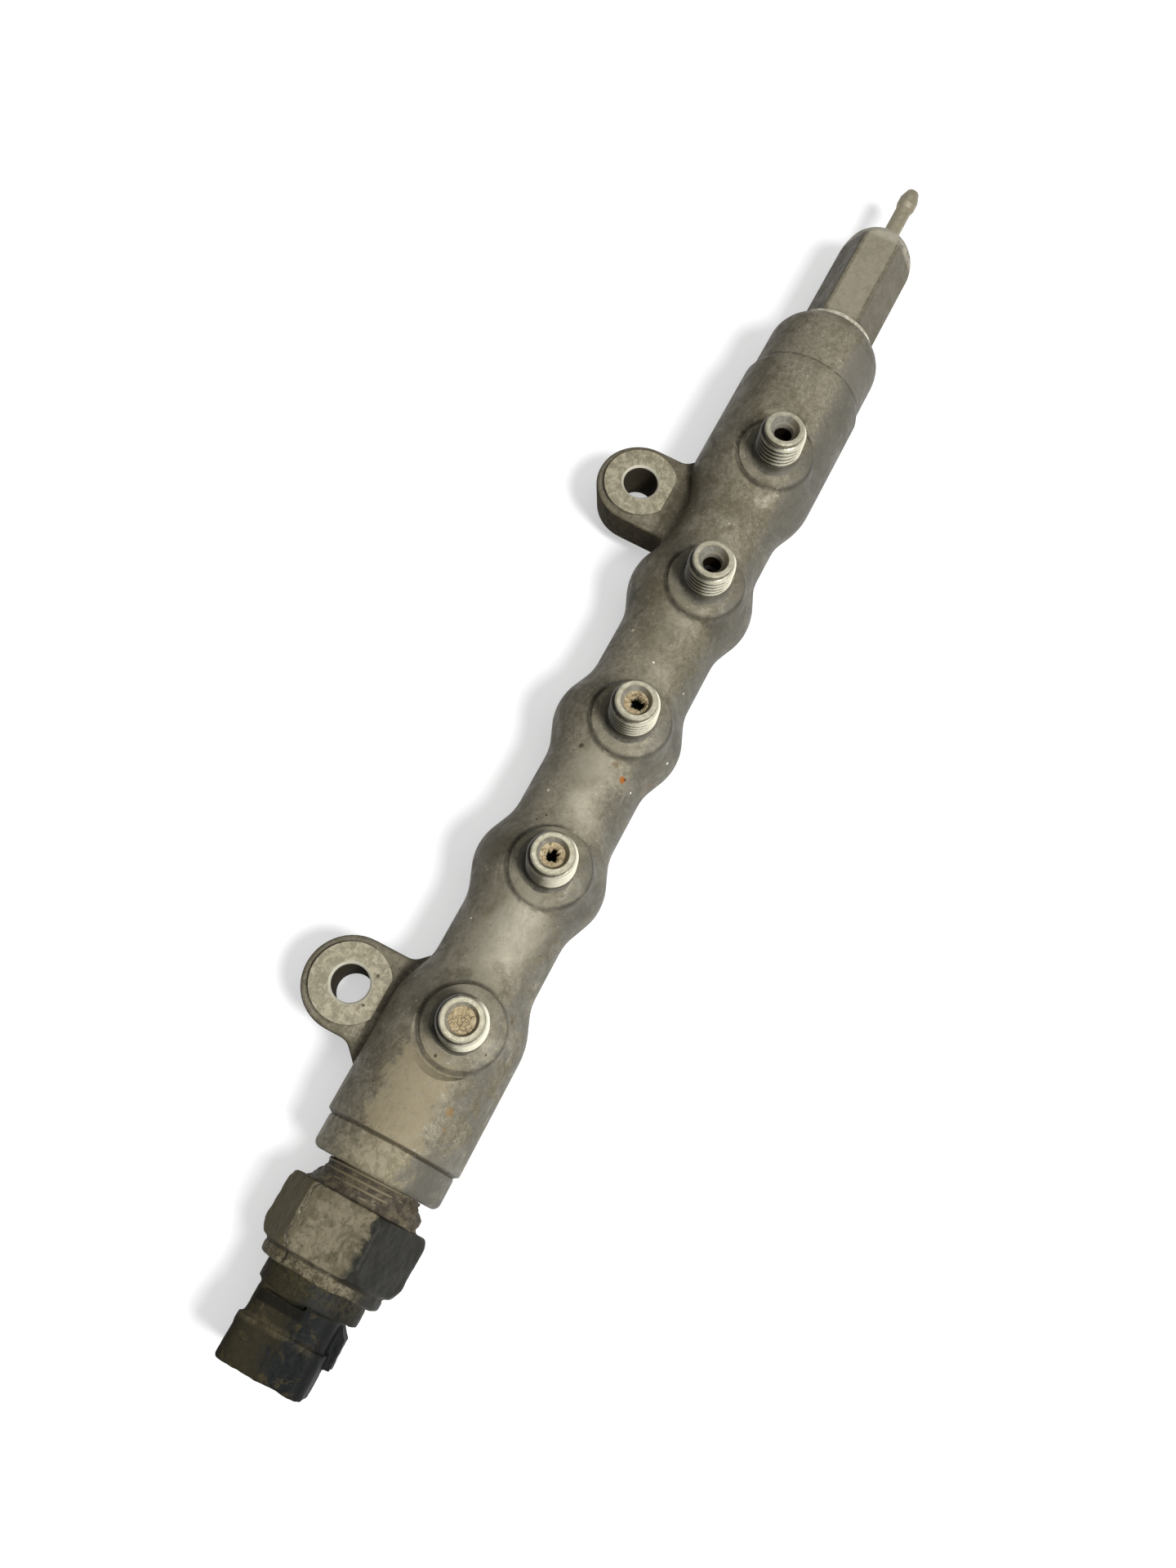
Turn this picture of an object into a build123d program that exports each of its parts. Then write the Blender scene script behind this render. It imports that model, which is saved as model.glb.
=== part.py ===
from build123d import *

import math
import os

# Diesel common-rail fuel rail: one forging with five outlet nipples and two bolt lugs,
# a pressure limiter in one end and a pressure sensor in the other.
# Millimetres. +X runs along the rail towards the limiter, +Z along the outlets.
# The origin is midway between the two lug bolts, on the lugs' mounting face.

# Outlets
outlet_pitch = 41.1
outlet_count = 5
outlet_offset = 2.5
outlet_seat_height = 15.1
outlet_face_radius = 9.4
spot_face_radius = 10.9
spot_face_depth = 0.8
spot_face_wall_angle = 40
boss_draft_angle = 16
boss_depth = 10
nipple_height = 11.4
nipple_thread_radius = 6
nipple_thread_chamfer = 0.9
nipple_relief_radius = 5.2
nipple_relief_length = 1
nipple_tip_radius = 5
nipple_tip_length = 1.6
nipple_tip_chamfer = 0.4
nipple_cone_radius = 3.75
nipple_cone_angle = 60
outlet_drill_radius = 1.5
bush_radius = 2.3
bush_length = 5
bush_depth = 13
bush_entry_radius = 1.3
bush_orifice_radius = 0.45
bush_orifice_length = 1.6

# Forging
rail_height = 11.5
body_radius = 16.5
boss_radius = 16.35
waist_radius = 12.8
boss_flat = 5.2
flank_angle = 22
forging_radius = 13
end_flank_radius = 18
limiter_end_flank = 6.3
sensor_end_flank = 3.8
bore_radius = 5

# Lugs
lug_spacing = 149
lug_shift = 9.3
lug_reach = 26.2
lug_radius = 11.6
lug_thickness = 12.5
lug_draft_angle = 5
lug_edge_radius = 1
lug_foot_radius = 1.5
lug_1_roots = (11.8, 8.2)
lug_2_roots = (6, 10.4)
lug_flare_radius = 5
lug_flare_angle = 45
pad_radius = 9.6
pad_height = 1
pad_flat_distance = 8.2
lug_hole_radius = 4.5
lug_hole_chamfer = 0.5

# Limiter end of the forging
limiter_end_length = 49.3
nose_radius = 9.4
nose_length = 7.8
turned_radius = 15.55
turned_length = 22
turned_step_length = 3
limiter_port_depth = 20.5
port_chamfer = 0.8

# Sensor end of the forging
sensor_end_length = 36.3
collar_radius = 15.6
collar_length = 8
collar_edge_radius = 1.8
collar_step_length = 0.6
collar_crease_depth = 0.3
sensor_port_depth = 14

# Pressure limiter
limiter_thread_radius = 8
limiter_gasket_radius = 10.9
limiter_gasket_thickness = 1.5
limiter_hex_flats = 18.2
limiter_hex_length = 37.8
limiter_hex_turn = 27
limiter_corner_radius = 10.35
crown_radius = 11.6
crown_length = 10.5
valve_seat_length = 7
valve_seat_bore_radius = 1
valve_seat_mouth_radius = 2
valve_seat_angle = 60
valve_guide_length = 6
valve_guide_recess_radius = 4
valve_guide_recess_depth = 2
valve_radius = 2.4
valve_tip_radius = 0.6
valve_reach = 3
valve_flat_distance = 1.9
spring_plate_radius = 5.4
spring_plate_thickness = 2.2
spring_pilot_radius = 2.6
spring_pilot_length = 2
spring_chamber_radius = 6.2
spring_chamber_wall = 15.5
spring_coil_radius = 4.4
spring_wire_radius = 0.8
spring_turns = 6.5
shim_radius = 5.9
shim_hole_radius = 2
shim_thickness = 1
leak_bore_radius = 1.46
leak_pipe_radius = 2.26
leak_pipe_length = 18.8
leak_pipe_depth = 8
leak_bead_radius = 2.7
leak_bead_place = 6.8
leak_bead_length = 5.5
leak_bead_ramp = 1.5
leak_tip_radius = 1.9

# Pressure sensor
sensor_thread_radius = 11
sensor_nose_chamfer = 1
sensor_gasket_radius = 9
sensor_gasket_thickness = 1.5
sensor_neck_length = 6
sensor_undercut_radius = 10.1
sensor_undercut_length = 1.4
sensor_hex_flats = 30
sensor_hex_length = 14.5
sensor_hex_turn = 25.9
sensor_hex_edge = 1
sensor_hex_chamfer_angle = 30
sensor_hex_chamfer_length = 3
lip_groove_radius = 13.8
lip_groove_length = 0.8
lip_radius = 14.5
lip_length = 2.6
lip_edge_radius = 0.9
lip_inner_edge = 0.5
lip_fold_thickness = 0.8
lip_fold_radius = 12.15
sensor_drill_radius = 1.5
sensor_well_radius = 6.5
sensor_well_floor = 11.5
sensor_cavity_radius = 12.8
sensor_cavity_depth = 11.6
stem_flange_length = 2.5
stem_tube_radius = 3.5
stem_length = 13
diaphragm_thickness = 1
clamp_screw_length = 6
clamp_slot_width = 2
clamp_slot_depth = 1.2
chip_side = 3.2
chip_thickness = 0.4
board_thickness = 1.2
board_window_radius = 4.4

# Plug connector on the sensor
connector_flange_length = 5.6
connector_base_radius = 12
connector_base_length = 5.4
connector_offset = 0.9
connector_block_width = 19.2
connector_block_height = 16.6
connector_block_length = 7
connector_corner_radius = 4
connector_slot_width = 1
connector_slot_length = 9.9
connector_slot_offset = 3.75
connector_slot_depth = 1.6
shroud_width = 20.9
shroud_height = 18
shroud_length = 10.3
shroud_wall = 1.7
shroud_corner_radius = 3.6
shroud_edge_radius = 0.9
socket_depth = 13.5
latch_reach = 12.2
latch_length = 10
latch_width = 7
latch_drop = 2
latch_ramp = 3
seal_ring_radius = 1
seal_groove_width = 2.3
pin_pitch = 4.2
pin_width = 1.6
pin_thickness = 0.8
pin_reach = 9.5

# Fits
thread_gap = 0.05
press_gap = 0.02
guide_gap = 0.05
seat_gap = 0.02

# Places along the rail, from the middle outlet
outlet_span = (outlet_count - 1) / 2 * outlet_pitch
outlet_places = [outlet_span - number * outlet_pitch for number in range(outlet_count)]
limiter_face = outlet_span + limiter_end_length
sensor_face = -outlet_span - sensor_end_length
limiter_floor = limiter_face - limiter_port_depth
sensor_floor = sensor_face + sensor_port_depth
turned_start = limiter_face - turned_length
nose_start = limiter_face - nose_length
collar_start = sensor_face + collar_length
shoulder = collar_start + collar_step_length
outlet_tip = outlet_seat_height + nipple_height

rail_centre = Vector(lug_shift, -lug_reach, rail_height)
rail_axis = Axis(rail_centre, (1, 0, 0))
lug_holes = [(lug_spacing / 2, 0), (-lug_spacing / 2, 0)]


def along(y=0.0):
    """Upright plane along the rail, y from its axis: X is the rail's, Y is up."""
    return Plane(rail_centre + Vector(0, y, 0), x_dir=(1, 0, 0), z_dir=(0, -1, 0))


def across(x):
    """Plane square to the rail at x, facing the limiter end: X is up."""
    return Plane(rail_centre + Vector(x, 0, 0), x_dir=(0, 0, 1), z_dir=(1, 0, 0))


def plug_plane(x):
    """Plane square to the rail at x, facing the plug end: Y is up."""
    return Plane(rail_centre + Vector(x, 0, 0), x_dir=(0, -1, 0), z_dir=(-1, 0, 0))


def level(z):
    """Level plane at z above the rail's axis."""
    return Plane(rail_centre + Vector(0, 0, z), x_dir=(1, 0, 0), z_dir=(0, 0, 1))


def outlet_axis(x):
    return Axis(rail_centre + Vector(x, -outlet_offset, 0), (0, 0, 1))


def outline(*points, y=0.0, corners=None):
    """Closed profile on the plane along the rail, with a radius for each of its corners."""
    with BuildSketch(along(y)) as profile:
        with BuildLine():
            if corners:
                FilletPolyline(*points, radius=corners, close=True)
            else:
                Polyline(*points, close=True)
        make_face()
    return profile.sketch


# Outline of the forging from the sensor end to the limiter end: x, radius, corner
flank_run = (boss_radius - waist_radius) / math.tan(math.radians(flank_angle))
end_run = (body_radius - waist_radius) / math.tan(math.radians(flank_angle))
limiter_flank = outlet_span - limiter_end_flank
sensor_flank = -outlet_span + sensor_end_flank
forging = [
    (shoulder, 0, 0),
    (shoulder, body_radius, 0),
    (sensor_flank, body_radius, end_flank_radius),
    (sensor_flank + end_run, waist_radius, forging_radius),
]
for place in sorted(outlet_places)[1:-1]:
    forging += [
        (place - boss_flat / 2 - flank_run, waist_radius, forging_radius),
        (place - boss_flat / 2, boss_radius, forging_radius),
        (place + boss_flat / 2, boss_radius, forging_radius),
        (place + boss_flat / 2 + flank_run, waist_radius, forging_radius),
    ]
forging += [
    (limiter_flank - end_run, waist_radius, forging_radius),
    (limiter_flank, body_radius, end_flank_radius),
    (turned_start, body_radius, 0),
    (turned_start, 0, 0),
]

# The forging, drilled and turned
with BuildPart() as rail_body:
    # Each lug flares into the forging from a corner as far from the bolt as its roots say,
    # first on the sensor's side and then on the limiter's
    flare_slope = math.tan(math.radians(lug_flare_angle))
    lug_foot = lug_radius - lug_thickness * math.tan(math.radians(lug_draft_angle))
    for (x, y), roots in zip(lug_holes, (lug_1_roots, lug_2_roots)):
        runs = [(lug_reach - root) / flare_slope for root in roots]
        left, right = x - lug_foot, x + lug_foot
        with BuildSketch(Plane.XY):
            with Locations((x, y)):
                Circle(lug_foot)
            with BuildLine():
                FilletPolyline(
                    (left, y),
                    (left, y - roots[0]),
                    (left - runs[0], y - lug_reach),
                    (right + runs[1], y - lug_reach),
                    (right, y - roots[1]),
                    (right, y),
                    radius=[0, lug_flare_radius, 0, 0, lug_flare_radius, 0],
                    close=True,
                )
            make_face()
    extrude(amount=lug_thickness, taper=-lug_draft_angle)
    fillet(rail_body.edges().group_by(Axis.Z)[-1], lug_edge_radius)
    fillet(rail_body.edges().group_by(Axis.Z)[0], lug_foot_radius)
    for x, y in lug_holes:
        with BuildSketch(Plane.XY.offset(lug_thickness - lug_edge_radius)):
            with Locations((x, y)):
                Circle(pad_radius)
            with Locations((x, y - pad_flat_distance)):
                Rectangle(
                    2 * pad_radius,
                    pad_radius,
                    align=(Align.CENTER, Align.MAX),
                    mode=Mode.SUBTRACT,
                )
    extrude(amount=lug_edge_radius + pad_height)

    revolve(
        outline(
            *[(x, r) for x, r, corner in forging],
            corners=[corner for x, r, corner in forging],
        ),
        axis=rail_axis,
    )
    with BuildSketch(along()):
        with BuildLine():
            foot = Polyline(
                (turned_start, 0),
                (turned_start, body_radius),
                (turned_start + turned_step_length, turned_radius),
                (nose_start, turned_radius),
            )
            nose_drop = nose_radius - math.sqrt(nose_radius**2 - nose_length**2)
            bow = TangentArc(
                (nose_start, turned_radius),
                (limiter_face, turned_radius - nose_drop),
                tangent=(1, 0),
            )
            Polyline((limiter_face, turned_radius - nose_drop), (limiter_face, 0), (turned_start, 0))
        make_face()
    revolve(axis=rail_axis)
    revolve(
        outline(
            (sensor_face, 0),
            (sensor_face, collar_radius),
            (collar_start - 2 * collar_crease_depth, collar_radius),
            (collar_start - collar_crease_depth, collar_radius - collar_crease_depth),
            (collar_start, collar_radius),
            (shoulder, body_radius),
            (shoulder, 0),
            corners=[0, collar_edge_radius, 0, 0, 0, 0, 0],
        ),
        axis=rail_axis,
    )

    boss_foot = outlet_seat_height - boss_depth
    boss_flare = boss_depth * math.tan(math.radians(boss_draft_angle))
    tip_foot = outlet_tip - nipple_tip_length
    spot_face_floor = outlet_seat_height - spot_face_depth
    spot_face_flare = (body_radius + 1 - spot_face_floor) * math.tan(math.radians(spot_face_wall_angle))
    for place in outlet_places:
        boss = outline(
            (place, boss_foot),
            (place + outlet_face_radius + boss_flare, boss_foot),
            (place + outlet_face_radius, outlet_seat_height),
            (place, outlet_seat_height),
            y=-outlet_offset,
        )
        spot_face = outline(
            (place, spot_face_floor),
            (place + spot_face_radius, spot_face_floor),
            (place + spot_face_radius + spot_face_flare, body_radius + 1),
            (place, body_radius + 1),
            y=-outlet_offset,
        )
        nipple = outline(
            (place, boss_foot),
            (place + nipple_relief_radius, boss_foot),
            (place + nipple_relief_radius, outlet_seat_height + nipple_relief_length),
            (place + nipple_thread_radius, outlet_seat_height + nipple_relief_length),
            (place + nipple_thread_radius, tip_foot - nipple_thread_chamfer),
            (place + nipple_tip_radius, tip_foot),
            (place + nipple_tip_radius, outlet_tip - nipple_tip_chamfer),
            (place + nipple_tip_radius - nipple_tip_chamfer, outlet_tip),
            (place, outlet_tip),
            y=-outlet_offset,
        )
        revolve(spot_face, axis=outlet_axis(place), mode=Mode.SUBTRACT)
        revolve(boss, axis=outlet_axis(place))
        revolve(nipple, axis=outlet_axis(place))

    # Bores: both end ports, the gallery between them and the outlets' drillings
    cone_slope = math.tan(math.radians(nipple_cone_angle / 2))
    bush_bore = bush_radius + press_gap
    limiter_port = limiter_thread_radius + thread_gap
    sensor_port = sensor_thread_radius + thread_gap
    revolve(
        outline(
            (sensor_face, 0),
            (sensor_face, sensor_port + port_chamfer),
            (sensor_face + port_chamfer, sensor_port),
            (sensor_floor, sensor_port),
            (sensor_floor, bore_radius),
            (limiter_floor, bore_radius),
            (limiter_floor, limiter_port),
            (limiter_face - port_chamfer, limiter_port),
            (limiter_face, limiter_port + port_chamfer),
            (limiter_face, 0),
        ),
        axis=rail_axis,
        mode=Mode.SUBTRACT,
    )
    for place in outlet_places:
        drilling = outline(
            (place, 0),
            (place + outlet_drill_radius, 0),
            (place + outlet_drill_radius, outlet_tip - bush_depth),
            (place + bush_bore, outlet_tip - bush_depth),
            (place + bush_bore, outlet_tip - (nipple_cone_radius - bush_bore) / cone_slope),
            (place + nipple_cone_radius, outlet_tip),
            (place, outlet_tip),
            y=-outlet_offset,
        )
        revolve(drilling, axis=outlet_axis(place), mode=Mode.SUBTRACT)
    lug_top = lug_thickness + pad_height
    with Locations([(x, y, lug_top) for x, y in lug_holes]):
        Hole(lug_hole_radius, depth=lug_top)
    hole_rims = (
        rail_body.edges()
        .filter_by(GeomType.CIRCLE)
        .filter_by(lambda rim: abs(rim.radius - lug_hole_radius) < 1e-3)
    )
    chamfer(hole_rims, lug_hole_chamfer)
rail_body.part.label = "rail_body"

# Bushes with a small orifice, one in each outlet
bushes = []
bush_foot = outlet_tip - bush_depth
for place in outlet_places:
    with BuildPart() as orifice_bush:
        revolve(
            outline(
                (place + bush_orifice_radius, bush_foot),
                (place + bush_radius, bush_foot),
                (place + bush_radius, bush_foot + bush_length),
                (place + bush_entry_radius, bush_foot + bush_length),
                (place + bush_entry_radius, bush_foot + bush_orifice_length),
                (place + bush_orifice_radius, bush_foot + bush_orifice_length),
                y=-outlet_offset,
            ),
            axis=outlet_axis(place),
        )
    orifice_bush.part.label = f"orifice_bush_{len(bushes) + 1}"
    bushes.append(orifice_bush.part)

# Pressure limiter, from the port's floor outwards
guide_start = limiter_floor + valve_seat_length
shank_start = guide_start + valve_guide_length
hex_start = limiter_face + limiter_gasket_thickness
hex_end = hex_start + limiter_hex_length
chamber_end = hex_end - spring_chamber_wall
cone_rise = math.tan(math.radians(valve_seat_angle / 2))

with BuildPart() as limiter_valve_seat:
    throat = guide_start - (valve_seat_mouth_radius - valve_seat_bore_radius) / cone_rise
    revolve(
        outline(
            (limiter_floor, valve_seat_bore_radius),
            (limiter_floor, limiter_thread_radius - guide_gap),
            (guide_start, limiter_thread_radius - guide_gap),
            (guide_start, valve_seat_mouth_radius),
            (throat, valve_seat_bore_radius),
        ),
        axis=rail_axis,
    )
limiter_valve_seat.part.label = "limiter_valve_seat"

with BuildPart() as limiter_valve_guide:
    revolve(
        outline(
            (guide_start, valve_guide_recess_radius),
            (guide_start, limiter_thread_radius - guide_gap),
            (shank_start, limiter_thread_radius - guide_gap),
            (shank_start, valve_radius + guide_gap),
            (guide_start + valve_guide_recess_depth, valve_radius + guide_gap),
            (guide_start + valve_guide_recess_depth, valve_guide_recess_radius),
        ),
        axis=rail_axis,
    )
limiter_valve_guide.part.label = "limiter_valve_guide"

valve_end = shank_start + valve_reach
with BuildPart() as limiter_valve:
    mouth = guide_start + seat_gap
    tip = mouth - (valve_seat_mouth_radius - valve_tip_radius) / cone_rise
    cone_end = mouth + (valve_radius - valve_seat_mouth_radius) / cone_rise
    revolve(
        outline(
            (tip, 0),
            (tip, valve_tip_radius),
            (cone_end, valve_radius),
            (valve_end, valve_radius),
            (valve_end, 0),
        ),
        axis=rail_axis,
    )
    with BuildSketch(across(cone_end)):
        with PolarLocations(valve_flat_distance, 3):
            Rectangle(valve_radius, 2 * valve_radius, align=(Align.MIN, Align.CENTER))
    extrude(amount=valve_end - cone_end, mode=Mode.SUBTRACT)
limiter_valve.part.label = "limiter_valve"

plate_end = valve_end + spring_plate_thickness
with BuildPart() as limiter_spring_plate:
    revolve(
        outline(
            (valve_end, 0),
            (valve_end, spring_plate_radius),
            (plate_end, spring_plate_radius),
            (plate_end, spring_pilot_radius),
            (plate_end + spring_pilot_length, spring_pilot_radius),
            (plate_end + spring_pilot_length, 0),
        ),
        axis=rail_axis,
    )
limiter_spring_plate.part.label = "limiter_spring_plate"

shim_start = chamber_end - shim_thickness
with BuildPart() as limiter_shim:
    revolve(
        outline(
            (shim_start, shim_hole_radius),
            (shim_start, shim_radius),
            (chamber_end, shim_radius),
            (chamber_end, shim_hole_radius),
        ),
        axis=rail_axis,
    )
limiter_shim.part.label = "limiter_shim"

spring_run = shim_start - plate_end - 2 * spring_wire_radius
with BuildPart() as limiter_spring:
    with BuildLine() as coil:
        Helix(
            pitch=spring_run / spring_turns,
            height=spring_run,
            radius=spring_coil_radius,
            center=rail_centre + Vector(plate_end + spring_wire_radius, 0, 0),
            direction=(1, 0, 0),
        )
    with BuildSketch(Plane(coil.line @ 0, z_dir=coil.line % 0)):
        Circle(spring_wire_radius)
    sweep(path=coil.line, is_frenet=True)
limiter_spring.part.label = "limiter_spring"

with BuildPart() as limiter_gasket:
    revolve(
        outline(
            (limiter_face, limiter_port),
            (limiter_face, limiter_gasket_radius),
            (hex_start, limiter_gasket_radius),
            (hex_start, limiter_port),
        ),
        axis=rail_axis,
    )
limiter_gasket.part.label = "limiter_gasket"

crown_start = hex_end - crown_length
crown_face = limiter_corner_radius - crown_radius + math.sqrt(crown_radius**2 - crown_length**2)
with BuildPart() as limiter_housing:
    with BuildSketch(across(hex_start)):
        RegularPolygon(
            limiter_hex_flats / 2, 6, major_radius=False, rotation=limiter_hex_turn
        )
    extrude(amount=limiter_hex_length)
    with BuildSketch(along()):
        with BuildLine():
            Polyline(
                (hex_start, 0),
                (hex_start, limiter_hex_flats / 2),
                (hex_start + 0.6, limiter_corner_radius),
                (crown_start, limiter_corner_radius),
            )
            TangentArc(
                (crown_start, limiter_corner_radius), (hex_end, crown_face), tangent=(1, 0)
            )
            Polyline((hex_end, crown_face), (hex_end, 0), (hex_start, 0))
        make_face()
    revolve(axis=rail_axis, mode=Mode.INTERSECT)
    revolve(
        outline(
            (shank_start, 0),
            (shank_start, limiter_thread_radius),
            (hex_start, limiter_thread_radius),
            (hex_start, 0),
        ),
        axis=rail_axis,
    )
    revolve(
        outline(
            (shank_start, 0),
            (shank_start, spring_chamber_radius),
            (chamber_end, spring_chamber_radius),
            (chamber_end, leak_bore_radius),
            (hex_end - leak_pipe_depth, leak_bore_radius),
            (hex_end - leak_pipe_depth, leak_pipe_radius + press_gap),
            (hex_end, leak_pipe_radius + press_gap),
            (hex_end, 0),
        ),
        axis=rail_axis,
        mode=Mode.SUBTRACT,
    )
limiter_housing.part.label = "limiter_housing"

pipe_end = hex_end + leak_pipe_length
bead_start = pipe_end - leak_bead_place
bead_end = bead_start + leak_bead_length
with BuildPart() as leak_off_pipe:
    revolve(
        outline(
            (hex_end - leak_pipe_depth, leak_bore_radius),
            (hex_end - leak_pipe_depth, leak_pipe_radius),
            (bead_start, leak_pipe_radius),
            (bead_start + leak_bead_ramp, leak_bead_radius),
            (bead_end - leak_bead_ramp, leak_bead_radius),
            (bead_end, leak_pipe_radius),
            (pipe_end, leak_tip_radius),
            (pipe_end, leak_bore_radius),
        ),
        axis=rail_axis,
    )
leak_off_pipe.part.label = "leak_off_pipe"

# Pressure sensor, from the port's floor outwards
nose = sensor_floor - sensor_gasket_thickness
neck_end = sensor_face - sensor_neck_length
nut_end = neck_end - sensor_hex_length
lip_start = nut_end - lip_groove_length
lip_end = lip_start - lip_length
fold_start = lip_end + lip_fold_thickness
well_floor = nose - sensor_well_floor
cavity_floor = lip_end + sensor_cavity_depth

with BuildPart() as sensor_gasket:
    revolve(
        outline(
            (sensor_floor, bore_radius),
            (sensor_floor, sensor_gasket_radius),
            (nose, sensor_gasket_radius),
            (nose, bore_radius),
        ),
        axis=rail_axis,
    )
sensor_gasket.part.label = "sensor_gasket"

with BuildPart() as sensor_housing:
    corner = sensor_hex_flats / math.sqrt(3)
    chamfer_drop = sensor_hex_chamfer_length * math.tan(math.radians(sensor_hex_chamfer_angle))
    with BuildSketch(across(nut_end)):
        RegularPolygon(
            sensor_hex_flats / 2, 6, major_radius=False, rotation=sensor_hex_turn
        )
    extrude(amount=sensor_hex_length)
    revolve(
        outline(
            (nut_end, 0),
            (nut_end, corner - chamfer_drop),
            (nut_end + sensor_hex_chamfer_length, corner),
            (neck_end - 2 * sensor_hex_edge, corner),
            (neck_end, corner - sensor_hex_edge),
            (neck_end, 0),
            corners=[0, 0, 2, 1, sensor_hex_edge / 2, 0],
        ),
        axis=rail_axis,
        mode=Mode.INTERSECT,
    )
    revolve(
        outline(
            (nose, 0),
            (nose, sensor_thread_radius - sensor_nose_chamfer),
            (nose - sensor_nose_chamfer, sensor_thread_radius),
            (neck_end + sensor_undercut_length, sensor_thread_radius),
            (neck_end + sensor_undercut_length, sensor_undercut_radius),
            (neck_end, sensor_undercut_radius),
            (neck_end, 0),
        ),
        axis=rail_axis,
    )
    revolve(
        outline(
            (nut_end, 0),
            (nut_end, lip_groove_radius),
            (lip_start, lip_groove_radius),
            (lip_start, lip_radius),
            (lip_end, lip_radius),
            (lip_end, 0),
            corners=[0, 0, 0, lip_inner_edge, lip_edge_radius, 0],
        ),
        axis=rail_axis,
    )
    revolve(
        outline(
            (nose, 0),
            (nose, sensor_drill_radius),
            (well_floor, sensor_drill_radius),
            (well_floor, sensor_well_radius),
            (cavity_floor, sensor_well_radius),
            (cavity_floor, sensor_cavity_radius),
            (fold_start, sensor_cavity_radius),
            (fold_start, lip_fold_radius),
            (lip_end, lip_fold_radius),
            (lip_end, 0),
        ),
        axis=rail_axis,
        mode=Mode.SUBTRACT,
    )
sensor_housing.part.label = "sensor_housing"

flange_end = well_floor - stem_flange_length
diaphragm = well_floor - stem_length
with BuildPart() as sensing_stem:
    revolve(
        outline(
            (well_floor, sensor_drill_radius),
            (well_floor, sensor_well_radius - guide_gap),
            (flange_end, sensor_well_radius - guide_gap),
            (flange_end, stem_tube_radius),
            (diaphragm, stem_tube_radius),
            (diaphragm, 0),
            (diaphragm + diaphragm_thickness, 0),
            (diaphragm + diaphragm_thickness, sensor_drill_radius),
        ),
        axis=rail_axis,
    )
sensing_stem.part.label = "sensing_stem"

screw_end = flange_end - clamp_screw_length
with BuildPart() as stem_clamp_screw:
    revolve(
        outline(
            (flange_end, stem_tube_radius + guide_gap),
            (flange_end, sensor_well_radius - guide_gap),
            (screw_end, sensor_well_radius - guide_gap),
            (screw_end, stem_tube_radius + guide_gap),
        ),
        axis=rail_axis,
    )
    with BuildSketch(across(screw_end)):
        Rectangle(clamp_slot_width, 2 * sensor_well_radius)
    extrude(amount=clamp_slot_depth, mode=Mode.SUBTRACT)
stem_clamp_screw.part.label = "stem_clamp_screw"

with BuildPart() as strain_chip:
    with BuildSketch(plug_plane(diaphragm)):
        Rectangle(chip_side, chip_side)
    extrude(amount=chip_thickness)
strain_chip.part.label = "strain_chip"

with BuildPart() as sensor_circuit_board:
    with BuildSketch(plug_plane(cavity_floor)):
        Circle(sensor_cavity_radius - guide_gap)
        Circle(board_window_radius, mode=Mode.SUBTRACT)
    extrude(amount=board_thickness)
sensor_circuit_board.part.label = "sensor_circuit_board"

# Plug connector, crimped in by the sensor's lip
board_back = cavity_floor - board_thickness
connector_front = fold_start + connector_flange_length
base_end = fold_start - connector_base_length
block_end = base_end - connector_block_length
shroud_end = block_end - shroud_length
socket_floor = shroud_end + socket_depth
flange_radius = sensor_cavity_radius - guide_gap
seal_place = (connector_front + fold_start) / 2
seal_centre = flange_radius - seal_ring_radius
seal_floor = seal_centre - seal_ring_radius - guide_gap
pin_places = [(-connector_offset + number * pin_pitch, 0) for number in (-1, 0, 1)]

with BuildPart() as connector_housing:
    revolve(
        outline(
            (connector_front, 0),
            (connector_front, flange_radius),
            (seal_place + seal_groove_width / 2, flange_radius),
            (seal_place + seal_groove_width / 2, seal_floor),
            (seal_place - seal_groove_width / 2, seal_floor),
            (seal_place - seal_groove_width / 2, flange_radius),
            (fold_start, flange_radius),
            (fold_start, connector_base_radius),
            (base_end, connector_base_radius),
            (base_end, 0),
        ),
        axis=rail_axis,
    )
    with BuildSketch(plug_plane(base_end)):
        with Locations((-connector_offset, 0)):
            RectangleRounded(
                connector_block_width, connector_block_height, connector_corner_radius
            )
    extrude(amount=connector_block_length)
    with BuildSketch(plug_plane(block_end)):
        with Locations((-connector_offset, 0)):
            RectangleRounded(shroud_width, shroud_height, shroud_corner_radius)
    extrude(amount=shroud_length)
    back_rim = connector_housing.faces().sort_by(Axis.X)[0].outer_wire().edges()
    fillet(back_rim, shroud_edge_radius)
    with BuildSketch(plug_plane(shroud_end)):
        with Locations((-connector_offset, 0)):
            RectangleRounded(
                shroud_width - 2 * shroud_wall,
                shroud_height - 2 * shroud_wall,
                shroud_corner_radius - shroud_wall,
            )
    extrude(amount=-socket_depth, mode=Mode.SUBTRACT)
    with BuildSketch(plug_plane(board_back)):
        with Locations(*pin_places):
            Rectangle(pin_width + 2 * press_gap, pin_thickness + 2 * press_gap)
    extrude(amount=board_back - shroud_end, mode=Mode.SUBTRACT)
    with BuildSketch(level(-latch_drop - latch_width / 2)):
        with BuildLine():
            Polyline(
                (base_end, connector_offset - shroud_width / 2 + shroud_wall),
                (base_end, connector_offset - connector_block_width / 2),
                (base_end - latch_ramp, connector_offset - latch_reach),
                (base_end - latch_length, connector_offset - latch_reach),
                (base_end - latch_length, connector_offset - shroud_width / 2 + shroud_wall),
                close=True,
            )
        make_face()
    extrude(amount=latch_width)
    with BuildSketch(level(connector_block_height / 2)):
        with Locations((base_end - connector_slot_width / 2, connector_slot_offset)):
            Rectangle(connector_slot_width, connector_slot_length)
    extrude(amount=-connector_slot_depth, mode=Mode.SUBTRACT)
connector_housing.part.label = "connector_housing"

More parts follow.
